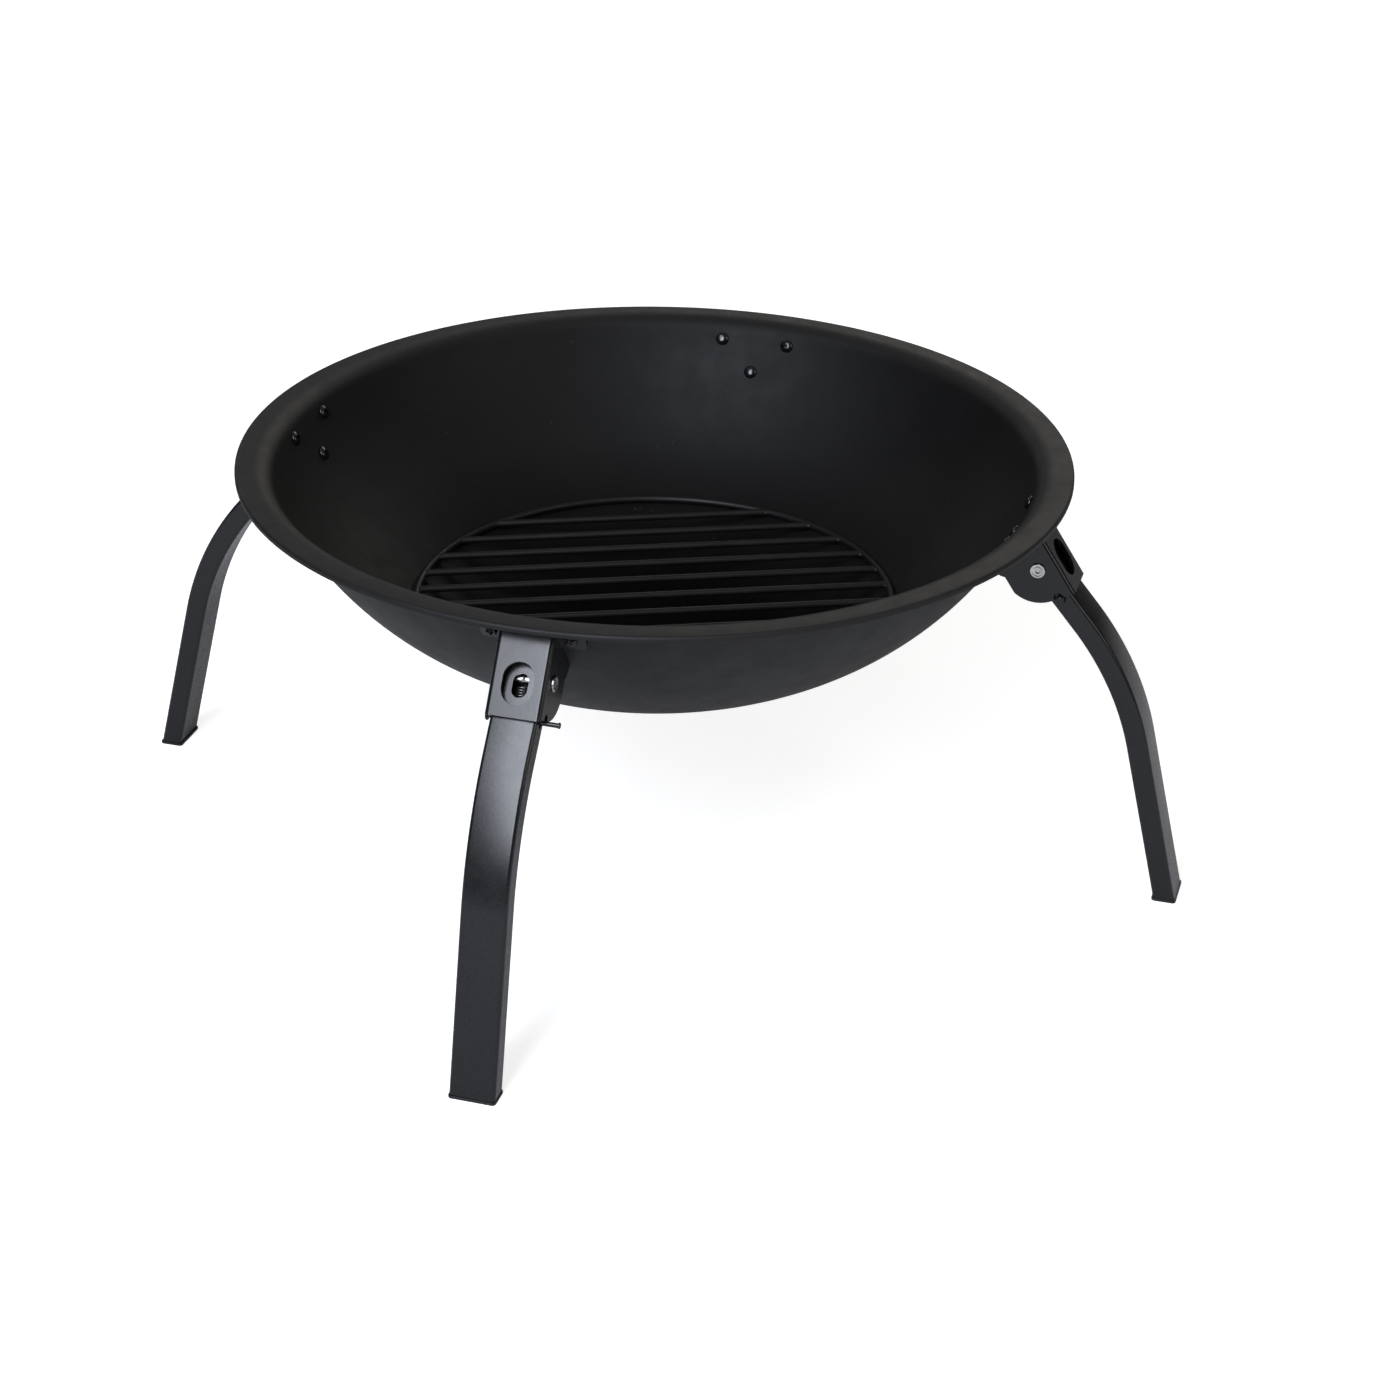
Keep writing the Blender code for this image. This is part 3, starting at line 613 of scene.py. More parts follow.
@dataclass(frozen=True)
class HeatPaint:
    """The matte heat-resistant paint of bowl and grate, with soot inside the bowl that takes its sheen.

    The soot is whole up to the first height of soot_heights and thins towards the second one. It ends
    between the two heights of rim_heights.
    """

    name: str
    colour: Colour
    worn: Colour
    roughness: float
    specular: float = 0.5
    thin_soot: float = 0.0
    soot_heights: Point = (135 * MM, 200 * MM)
    rim_heights: Point = (270 * MM, 276 * MM)
    cloud_size: float = 110 * MM
    patch_size: float = 20 * MM
    patch_depth: float = 0.12 * MM
    grain_size: float = 0.9 * MM
    grain_depth: float = 0.05 * MM
    speck_size: float = 2.4 * MM
    dust: Colour = (0.09, 0.088, 0.084)

    def material(self) -> bpy.types.Material:
        """Build the paint: grain, soft mottling, settled dust, and soot that dulls the inside.

        Returns:
            The material.
        """
        bench = NodeBench(self.name)
        cloud = bench.noise(self.cloud_size, detail=5, roughness=0.6, distortion=0.4)
        patch = bench.noise(self.patch_size, detail=6, roughness=0.65)
        grain = bench.noise(self.grain_size, detail=3, roughness=0.7)
        tone = bench.mix(bench.ramp(cloud, 0.3, 0.75), self.colour, self.worn)
        speck = bench.ramp(bench.noise(self.speck_size, detail=1), 0.73, 0.79, 0.0, 0.45)
        dusty = bench.multiply(speck, bench.ramp(patch, 0.5, 0.66))
        bench.attach("Base Color", bench.mix(dusty, tone, self.dust))
        swing = bench.ramp(patch, 0.3, 0.7, self.roughness - 0.05, self.roughness + 0.06)
        bench.attach("Roughness", swing)
        coarse = bench.bump(patch, self.patch_depth, 0.35)
        bench.attach("Normal", bench.bump(grain, self.grain_depth, 0.6, coarse))
        height = bench.upward(bench.place)
        facing_up = bench.ramp(bench.upward(bench.normal), 0.1, 0.4)
        inside = bench.multiply(facing_up, bench.ramp(height, *self.rim_heights, 1.0, 0.0))
        soot = bench.multiply(inside, bench.ramp(height, *self.soot_heights, 1.0, self.thin_soot))
        bench.attach("Specular IOR Level", bench.ramp(soot, 0.0, 1.0, self.specular, 0.0))
        return bench.material


@dataclass(frozen=True)
class PowderCoat:
    """The smooth satin coat of legs and brackets, and, thinner, the black of the fasteners."""

    name: str
    colour: Colour
    worn: Colour
    roughness: float
    peel_depth: float = 0.035 * MM
    peel_size: float = 2.2 * MM
    cloud_size: float = 45 * MM
    smear_size: float = 12 * MM
    speck_size: float = 1.6 * MM
    dust: Colour = (0.08, 0.08, 0.082)

    def material(self) -> bpy.types.Material:
        """Build the coat: orange peel, handling marks and a little dust.

        Returns:
            The material.
        """
        bench = NodeBench(self.name)
        cloud = bench.noise(self.cloud_size, detail=5, roughness=0.6)
        peel = bench.noise(self.peel_size, detail=2, roughness=0.5)
        smear = bench.noise(self.smear_size, detail=6, roughness=0.7, distortion=0.6)
        tone = bench.mix(bench.ramp(cloud, 0.35, 0.7), self.colour, self.worn)
        speck = bench.ramp(bench.noise(self.speck_size, detail=1), 0.75, 0.8, 0.0, 0.3)
        bench.attach("Base Color", bench.mix(speck, tone, self.dust))
        swing = bench.ramp(smear, 0.3, 0.72, self.roughness - 0.02, self.roughness + 0.03)
        bench.attach("Roughness", swing)
        bench.attach("Normal", bench.bump(peel, self.peel_depth, 0.5))
        bench.put(Specular_IOR_Level=0.5)
        return bench.material


@dataclass(frozen=True)
class BareMetal:
    """A metal surface: zinc plate or drawn wire."""

    name: str
    colour: Colour
    stain: Colour
    roughness: float
    cloud_size: float = 6 * MM
    scratch_size: float = 1.1 * MM
    scratch_depth: float = 0.02 * MM

    def material(self) -> bpy.types.Material:
        """Build the metal: crystalline mottling, fine scratches and stains.

        Returns:
            The material.
        """
        bench = NodeBench(self.name)
        cloud = bench.noise(self.cloud_size, detail=5, roughness=0.65)
        scratch = bench.noise(self.scratch_size, detail=3, roughness=0.75)
        bench.attach("Base Color", bench.mix(bench.ramp(cloud, 0.35, 0.72), self.colour, self.stain))
        swing = bench.ramp(scratch, 0.25, 0.75, self.roughness - 0.07, self.roughness + 0.12)
        bench.attach("Roughness", swing)
        bench.attach("Normal", bench.bump(scratch, self.scratch_depth, 0.5))
        bench.put(Metallic=1.0)
        return bench.material


@dataclass(frozen=True)
class MouldedPlastic:
    """The foot caps' matte moulded plastic."""

    name: str
    colour: Colour
    scuffed: Colour
    roughness: float
    grain_size: float = 0.7 * MM
    grain_depth: float = 0.04 * MM
    scuff_size: float = 6 * MM

    def material(self) -> bpy.types.Material:
        """Build the plastic: spark-eroded grain and scuffs.

        Returns:
            The material.
        """
        bench = NodeBench(self.name)
        grain = bench.noise(self.grain_size, detail=3, roughness=0.7)
        scuff = bench.noise(self.scuff_size, detail=6, roughness=0.72, distortion=1.0)
        tone = bench.mix(bench.ramp(scuff, 0.55, 0.75, 0.0, 0.6), self.colour, self.scuffed)
        bench.attach("Base Color", tone)
        swing = bench.ramp(scuff, 0.3, 0.7, self.roughness - 0.06, self.roughness + 0.1)
        bench.attach("Roughness", swing)
        bench.attach("Normal", bench.bump(grain, self.grain_depth, 0.6))
        return bench.material


class FinishShelf:
    """All finishes, each made once."""

    def __init__(self) -> None:
        """Mix every finish."""
        self.bowl = HeatPaint("bowl_heat_paint", (0.0032, 0.0032, 0.0033), (0.0055, 0.0053, 0.0050),
                              roughness=0.56, specular=0.38, thin_soot=0.45).material()
        self.grate = HeatPaint("grate_heat_paint", (0.0030, 0.0030, 0.0030), (0.0050, 0.0049, 0.0047),
                               roughness=0.45).material()
        self.leg = PowderCoat("leg_powder_coat", (0.0034, 0.0036, 0.0043), (0.0052, 0.0054, 0.0062),
                              roughness=0.27).material()
        self.bracket = PowderCoat("bracket_powder_coat", (0.0036, 0.0038, 0.0045), (0.0056, 0.0058, 0.0066),
                                  roughness=0.24).material()
        self.gloss = PowderCoat("gloss_black_oxide", (0.0030, 0.0030, 0.0032), (0.0060, 0.0058, 0.0056),
                                roughness=0.2, peel_depth=0.01 * MM).material()
        self.zinc = BareMetal("bright_zinc_plate", (0.66, 0.66, 0.65), (0.42, 0.42, 0.4),
                              roughness=0.22).material()
        self.spring = BareMetal("drawn_spring_wire", (0.20, 0.20, 0.20), (0.12, 0.12, 0.12),
                                roughness=0.34).material()
        self.plastic = MouldedPlastic("cap_plastic", (0.008, 0.008, 0.0085), (0.018, 0.0175, 0.017),
                                      roughness=0.36).material()


@dataclass(frozen=True)
class Stretch:
    """A second body and two end points for a piece that spans two bodies; such a piece is left where it is, on
    no body.
    """

    body: str
    start: Vector
    end: Vector


def finish_piece(piece: bpy.types.Object, name: str, finish: bpy.types.Material, slot: Slot,
                 body: str, *nodes: str, stretch: Stretch | None = None) -> None:
    """Dress a piece, hang it on its body unless it has a stretch, and let it stand for its nodes.

    Args:
        piece: The modelled piece, with its place in its mesh.
        name: Its name.
        finish: Its material.
        slot: The record's slot that the finish belongs to; not used.
        body: The body that it moves with, when it has no stretch.
        *nodes: The nodes that it stands for.
        stretch: A second body and two end points, if any; a piece given one is left where it is, on no body.
    """
    piece.name = name
    piece.data.name = name
    piece.data.materials.clear()
    piece.data.materials.append(finish)
    if stretch is None:
        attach(piece, body)
    else:
        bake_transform(piece)
    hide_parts(*nodes)
    LOG.info("%s: %d faces on %s", name, len(piece.data.polygons), body)


def finish_stations(pattern: bpy.types.Object, word: str, finish: bpy.types.Material, slot: Slot,
                    body: str, stretch: Stretch | None = None) -> None:
    """Turn a piece of the station on +X onto all four stations.

    Args:
        pattern: The modelled piece on +X, which is used up.
        word: The node's name after the station's.
        finish: Its material.
        slot: The record's slot of that finish.
        body: The body's name, where a pair of braces stands for the station's.
        stretch: The second body and end points of the piece on +X, if any, with its body named in the same
            way; such copies are left on no body.
    """
    for station in Station:
        piece = copy_to(pattern, station.turn)
        node = f"{station.label}_{word}"
        pull = stretch and Stretch(stretch.body.format(station.label), station.turn @ stretch.start,
                                   station.turn @ stretch.end)
        own_body = body.format(station.label)
        finish_piece(piece, f"{node}_fine", finish, slot, own_body, node, stretch=pull)
    bpy.data.objects.remove(pattern)


# Shared geometry


@dataclass(frozen=True)
class Dish:
    """The bowl's section: a flat floor, a round dish, a bend and a flange with a lip turned down."""

    sheet: float = 1.2 * MM
    floor_flat: float = 46 * MM
    flange_width: float = 12 * MM
    rim_bend: float = 13.8 * MM
    lip_height: float = 4.0 * MM
    lip_bend: float = 0.9 * MM
    round_steps: int = 240
    dish_steps: int = 40
    bend_steps: int = 12
    lip_steps: int = 5
    low: Vector = field(default_factory=lambda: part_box("bowl")[0])
    high: Vector = field(default_factory=lambda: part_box("bowl")[1])

    @property
    def rim_radius(self) -> float:
        """Radius of the rim."""
        return self.high.x

    @property
    def rim_height(self) -> float:
        """Height of the flange's top."""
        return self.high.z

    @property
    def bend_centre(self) -> Point:
        """Centre of the bend between wall and flange."""
        return self.rim_radius - self.flange_width, self.rim_height - self.sheet - self.rim_bend

    @property
    def curve(self) -> float:
        """Radius of the dish's underside.

        Returns:
            The radius with which it leaves the flat floor level and meets the bend smoothly.
        """
        reach = self.bend_centre[0] - self.floor_flat
        rise = self.bend_centre[1] - self.low.z
        return (reach ** 2 + rise ** 2 - self.rim_bend ** 2) / (2 * (self.rim_bend + rise))

    @property
    def centre(self) -> Point:
        """Centre of the dish's curve."""
        return self.floor_flat, self.low.z + self.curve

    @property
    def wall_end(self) -> float:
        """Angle from straight down at which the dish meets the bend."""
        return math.atan2(self.bend_centre[0] - self.centre[0], self.centre[1] - self.bend_centre[1])

    def angle_at(self, drop: float) -> float:
        """Angle from straight down of the wall point this far below the rim."""
        return math.acos((self.centre[1] - self.rim_height + drop) / self.curve)

    def point(self, angle: float, offset: float = 0.0) -> Point:
        """A point of the dish, offset outwards from its underside."""
        radius = self.curve + offset
        return self.centre[0] + radius * math.sin(angle), self.centre[1] - radius * math.cos(angle)

    def section(self, offset: float) -> list[Point]:
        """Section of the bowl from its axis to the lip's edge.

        Args:
            offset: How far outwards from the underside.

        Returns:
            Its (radius, height) points.
        """
        floor = [(0.0, self.low.z - offset), (self.floor_flat / 2, self.low.z - offset)]
        turns = range(self.dish_steps + 1)
        dish = [self.point(self.wall_end * turn / self.dish_steps, offset) for turn in turns]
        side = math.pi / 2 + self.wall_end
        bend = arc(self.bend_centre, self.rim_bend - offset, side, math.pi / 2, self.bend_steps)[1:]
        lip_radius = self.rim_radius - self.sheet
        lip_centre = (lip_radius - self.lip_bend, self.rim_height - self.sheet - self.lip_bend)
        lip = arc(lip_centre, self.lip_bend - offset, math.pi / 2, 0, self.lip_steps)
        return floor + dish + bend + lip + [(lip_radius - offset, self.rim_height - self.lip_height)]


@dataclass(frozen=True)
class StationPlan:
    """Directions, places and shared sizes of the station on +X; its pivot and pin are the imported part's."""

    thigh_angle: float = math.radians(40.3)
    shin_angle: float = math.radians(13.5)
    bracket_lean: float = math.radians(33.5)
    bracket_sheet: float = 2.5 * MM
    ear_inside: float = 15.4 * MM
    barrel_radius: float = 3.0 * MM
    pin_radius: float = 1.5 * MM
    bolt_radius: float = 2.5 * MM
    bolt_spread: float = 25 * MM
    upper_drop: float = 14.0 * MM
    lower_drop: float = 34.0 * MM

    @property
    def ear_outside(self) -> float:
        """Half the bracket's width over its ears."""
        return self.ear_inside + self.bracket_sheet

    @property
    def pivot(self) -> Vector:
        """The leg's pivot."""
        joint = next(joint for joint in frame["joints"] if joint["name"] == "right_leg_fold")
        return Vector(joint["pos_m"])

    @property
    def pin(self) -> Vector:
        """The lock pin's middle line."""
        low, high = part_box("right_lock_pin")
        return Vector(((low.x + high.x) / 2, 0, (low.z + high.z) / 2))

    @property
    def tangent(self) -> Vector:
        """Along the pivot."""
        return Vector((0, 1, 0))

    @property
    def thigh(self) -> Vector:
        """Down along the leg's straight upper part."""
        return Vector((math.sin(self.thigh_angle), 0, -math.cos(self.thigh_angle)))

    @property
    def thigh_face(self) -> Vector:
        """Outwards from the leg's upper part."""
        return Vector((math.cos(self.thigh_angle), 0, math.sin(self.thigh_angle)))

    @property
    def shin(self) -> Vector:
        """Down along the leg's lower part."""
        return Vector((math.sin(self.shin_angle), 0, -math.cos(self.shin_angle)))

    @property
    def web_down(self) -> Vector:
        """Down along the bracket's web."""
        return Vector((math.sin(self.bracket_lean), 0, -math.cos(self.bracket_lean)))

    @property
    def web_face(self) -> Vector:
        """Outwards from the bracket's web."""
        return Vector((math.cos(self.bracket_lean), 0, math.sin(self.bracket_lean)))

    def bolts(self, dish: Dish) -> list[Matrix]:
        """Place the two upper bolts and the lower one.

        Args:
            dish: The bowl's section.

        Returns:
            Their places on the bowl's underside, whose Z points into the bowl.
        """
        upper = dish.angle_at(self.upper_drop)
        lower = dish.angle_at(self.lower_drop)
        azimuth = math.asin(self.bolt_spread / dish.point(upper)[0])
        places = []
        for angle, turn in ((upper, azimuth), (upper, -azimuth), (lower, 0.0)):
            radius, height = dish.point(angle)
            up_wall = Vector((math.cos(angle), 0, math.sin(angle)))
            local = square(-self.tangent, up_wall, Vector((radius, 0, height)))
            places.append(Matrix.Rotation(turn, 4, "Z") @ local)
        return places


# Sub-assemblies


@dataclass
class Bowl:
    """The pressed bowl with its rolled rim."""

    dish: Dish
    edge: float = 0.25 * MM

    def model(self) -> bpy.types.Object:
        """Spin the inner surface and give it the sheet's thickness.

        Returns:
            The bowl.
        """
        sheet = self.dish.sheet
        bowl = turn_profile("bowl_fine", self.dish.section(-sheet), self.dish.round_steps, solid=False)
        face_up(bowl, lambda place: place.xy.length)
        apply_modifier(bowl, "SOLIDIFY", thickness=sheet, offset=-1, use_even_offset=True, use_rim=True)
        apply_modifier(bowl, "BEVEL", width=self.edge, segments=2, limit_method="ANGLE",
                       angle_limit=math.radians(60))
        return smooth(bowl, 50, weighted=False)

    def build(self, finishes: FinishShelf) -> None:
        """Model the bowl and dress it."""
        finish_piece(self.model(), "bowl_fine", finishes.bowl, Slot.HEAT_BLACK, ROOT, "bowl")


@dataclass
class Grate:
    """The wire grate: a ring, parallel bars butted to its inner side, and their welds."""

    wire: float = 2.5 * MM
    pitch: float = 26 * MM
    bars: int = 11
    turn: float = math.radians(24)
    bead: Triple = (1.55, 0.95, 0.86)
    bead_inset: float = 0.85
    ring_steps: int = 240
    sides: int = 20

    @property
    def radius(self) -> float:
        """Radius of the ring's middle line."""
        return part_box("grate")[1].x - self.wire

    @property
    def height(self) -> float:
        """Height of the wires' middle line."""
        low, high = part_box("grate")
        return (low.z + high.z) / 2

    def weld(self, place: Vector, heading: float) -> bpy.types.Object:
        """A small weld bead where a bar meets the ring.

        Args:
            place: Middle of the joint.
            heading: The ring's direction there, in radians.

        Returns:
            The bead.
        """
        clear_selection()
        bpy.ops.mesh.primitive_uv_sphere_add(segments=16, ring_count=8, radius=self.wire)
        bead = bpy.context.object
        bead.scale = self.bead
        bpy.ops.object.transform_apply(scale=True)
        return put(bead, Matrix.Translation(place) @ Matrix.Rotation(heading, 4, "Z"))

    def build(self, finishes: FinishShelf) -> None:
        """Model the grate and dress it.

        Args:
            finishes: The finishes to choose from.
        """
        clear_selection()
        bpy.ops.mesh.primitive_torus_add(major_segments=self.ring_steps, minor_segments=self.sides,
                                         major_radius=self.radius, minor_radius=self.wire,
                                         location=(0, 0, self.height))
        ring = bpy.context.object
        bpy.ops.object.transform_apply(location=True)
        pieces = [ring]
        along = Vector((math.cos(self.turn), math.sin(self.turn), 0))
        across = Vector((-along.y, along.x, 0))
        level = Vector((0, 0, self.height))
        for index in range(self.bars):
            offset = (index - (self.bars - 1) / 2) * self.pitch
            half = math.sqrt(self.radius ** 2 - offset ** 2)
            middle = level + across * offset
            placing = square(across, Vector((0, 0, 1)), middle)
            pieces.append(rod("bar", self.wire, 2 * half - self.wire, placing, self.sides))
            for side in (1, -1):
                joint = middle + along * side * (half - self.bead_inset * self.wire)
                heading = math.atan2(joint.y, joint.x) + math.pi / 2
                pieces.append(self.weld(joint, heading))
        take(ring)
        for piece in pieces:
            piece.select_set(True)
        bpy.ops.object.join()
        smooth(ring, 50, weighted=False)
        finish_piece(ring, "grate_fine", finishes.grate, Slot.HEAT_BLACK, "grate_body", "grate")


@dataclass
class Leg:
    """A leg of flat tube, bent at the knee, with its foot cap."""

    plan: StationPlan
    width: float = 30 * MM
    depth: float = 14.5 * MM
    wall: float = 1.5 * MM
    corner: float = 2.4 * MM
    thigh_length: float = 48.3 * MM
    knee_curve: float = 214 * MM
    top: float = 8.28 * MM
    sight_slot: Point = (9.8 * MM, 15.2 * MM)
    sight_drop: float = 5.7 * MM
    pin_travel: float = 2.0 * MM
    edge: float = 0.3 * MM
    cap_flange: float = 1.8 * MM
    cap_overhang: float = 0.4 * MM
    cap_edge: float = 0.35 * MM
    crown: float = 0.3 * MM
    crown_steps: int = 8
    corner_steps: int = 8
    knee_steps: int = 32

    @property
    def knee_centre(self) -> Vector:
        """Centre of the knee's curve."""
        face = self.plan.pivot + self.plan.thigh_face * (self.depth / 2 - self.knee_curve)
        return face + self.plan.thigh * self.thigh_length

    def section(self) -> bpy.types.Object:
        """Draw the tube's outline at the leg's top.

        Returns:
            The outline, as a loop of edges.
        """
        plan = self.plan
        top = plan.pivot - plan.thigh * self.top
        clear_selection()
        bpy.ops.mesh.primitive_plane_add(size=1)
        loop = bpy.context.object
        loop.scale = (self.depth, self.width, 1)
        bpy.ops.object.transform_apply(scale=True)
        with editing(loop, everything=True):
            bpy.ops.mesh.bevel(offset=self.corner, segments=self.corner_steps, affect="VERTICES")
            bpy.ops.mesh.select_all(action="SELECT")
            bpy.ops.mesh.delete(type="ONLY_FACE")
        self.raise_crown(loop)
        return put(loop, square(plan.thigh_face, plan.tangent, top))

    def raise_crown(self, loop: bpy.types.Object) -> None:
        """Let the outer long side of the tube's outline swell a little, as bent tube does.

        Args:
            loop: The outline, with its outer side on +X.
        """
        flat = self.width / 2 - self.corner
        outer = 0.49 * self.depth
        near = 0.1 * MM
        with editing(loop, "EDGE"):
            select_edges(loop, lambda a, b: min(a.x, b.x) > outer and abs(a.y - b.y) > flat)
            bpy.ops.mesh.subdivide(number_cuts=self.crown_steps - 1)
        for step in range(1, self.crown_steps):
            across = flat * (2 * step / self.crown_steps - 1)
            rise = self.crown * (1 - (across / flat) ** 2)
            with editing(loop):
                select_points(loop, lambda place: place.x > outer and abs(place.y - across) < near)
                bpy.ops.transform.translate(value=(rise, 0, 0))

    def model_tube(self) -> bpy.types.Object:
        """Extrude the thigh, spin the knee, extrude the shin, cut the foot level and add the wall.

        Returns:
            The tube, before its holes.
        """
        plan = self.plan
        tube = self.section()
        bend = plan.thigh_angle - plan.shin_angle
        with editing(tube, "EDGE", everything=True):
            straight = plan.thigh * (self.top + self.thigh_length)
            bpy.ops.mesh.extrude_region_move(TRANSFORM_OT_translate={"value": straight})
            bpy.ops.mesh.spin(steps=self.knee_steps, angle=bend, center=self.knee_centre, axis=(0, -1, 0))
            low = min(vertex.co.z for vertex in bmesh.from_edit_mesh(tube.data).verts)
            shin = plan.shin * ((low + 2 * self.depth) / math.cos(plan.shin_angle))
            bpy.ops.mesh.extrude_region_move(TRANSFORM_OT_translate={"value": shin})
            bpy.ops.mesh.select_all(action="SELECT")
            level = (0, 0, self.cap_flange + GAP)
            bpy.ops.mesh.bisect(plane_co=level, plane_no=(0, 0, 1), clear_inner=True)
            bpy.ops.mesh.select_all(action="SELECT")
            bpy.ops.mesh.normals_make_consistent(inside=False)
        apply_modifier(tube, "SOLIDIFY", thickness=self.wall, offset=-1, use_even_offset=True, use_rim=True)
        return tube

    def drill(self, tube: bpy.types.Object) -> None:
        """Cut the pivot hole, the pin slots and the sight slot.

        Args:
            tube: The tube to cut.
        """
        plan = self.plan
        across = square(plan.thigh, plan.thigh_face, plan.pivot)
        combine(tube, rod("pivot_hole", plan.barrel_radius + GAP, 2 * self.width, across))
        middle = plan.pin + plan.thigh * (self.pin_travel / 2)
        radius = plan.pin_radius + GAP
        size = (self.pin_travel + 2 * radius, 2 * radius, 2 * self.width)
        combine(tube, block("pin_slot", size, square(plan.thigh, plan.thigh_face, middle), radius, 12))
        face = plan.pivot + plan.thigh_face * (self.depth / 2) + plan.thigh * self.sight_drop
        width, length = self.sight_slot
        placing = square(plan.thigh, plan.tangent, face)
        combine(tube, block("sight_slot", (length, width, 3 * self.wall), placing, width / 2, 16))

    def build(self, finishes: FinishShelf) -> None:
        """Model the leg and its cap and dress them at all four stations.

        Args:
            finishes: The finishes to choose from.
        """
        tube = self.model_tube()
        self.drill(tube)
        break_edges(tube, self.edge, 2, 50)
        finish_stations(smooth(tube), "leg", finishes.leg, Slot.BLACK_STEEL, "{}_leg_body")
        finish_stations(self.model_cap(), "foot_cap", finishes.plastic, Slot.PLASTIC, "{}_leg_body")

    def model_cap(self) -> bpy.types.Object:
        """Model the foot cap: a flange that stands on the floor and a plug that fills the tube's end.

        Returns:
            The cap.
        """
        low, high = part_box("right_foot_cap")
        middle = Vector(((low.x + high.x) / 2, 0, self.cap_flange / 2))
        size = (high.x - low.x, self.width + 2 * self.cap_overhang, self.cap_flange)
        cap = block("foot_cap_fine", size, Matrix.Translation(middle), self.corner, self.corner_steps)
        inset = self.wall + GAP + self.cap_overhang
        rise = high.z - self.cap_flange
        slope = math.tan(self.plan.shin_angle)
        with editing(cap, "FACE"):
            select_faces(cap, lambda normal: normal.z > 0.99)
            bpy.ops.mesh.inset(thickness=inset, depth=0)
            plug = (-rise * slope, 0, rise)
            bpy.ops.mesh.extrude_region_move(TRANSFORM_OT_translate={"value": plug})
        break_edges(cap, self.cap_edge, 3, 50)
        return smooth(cap)


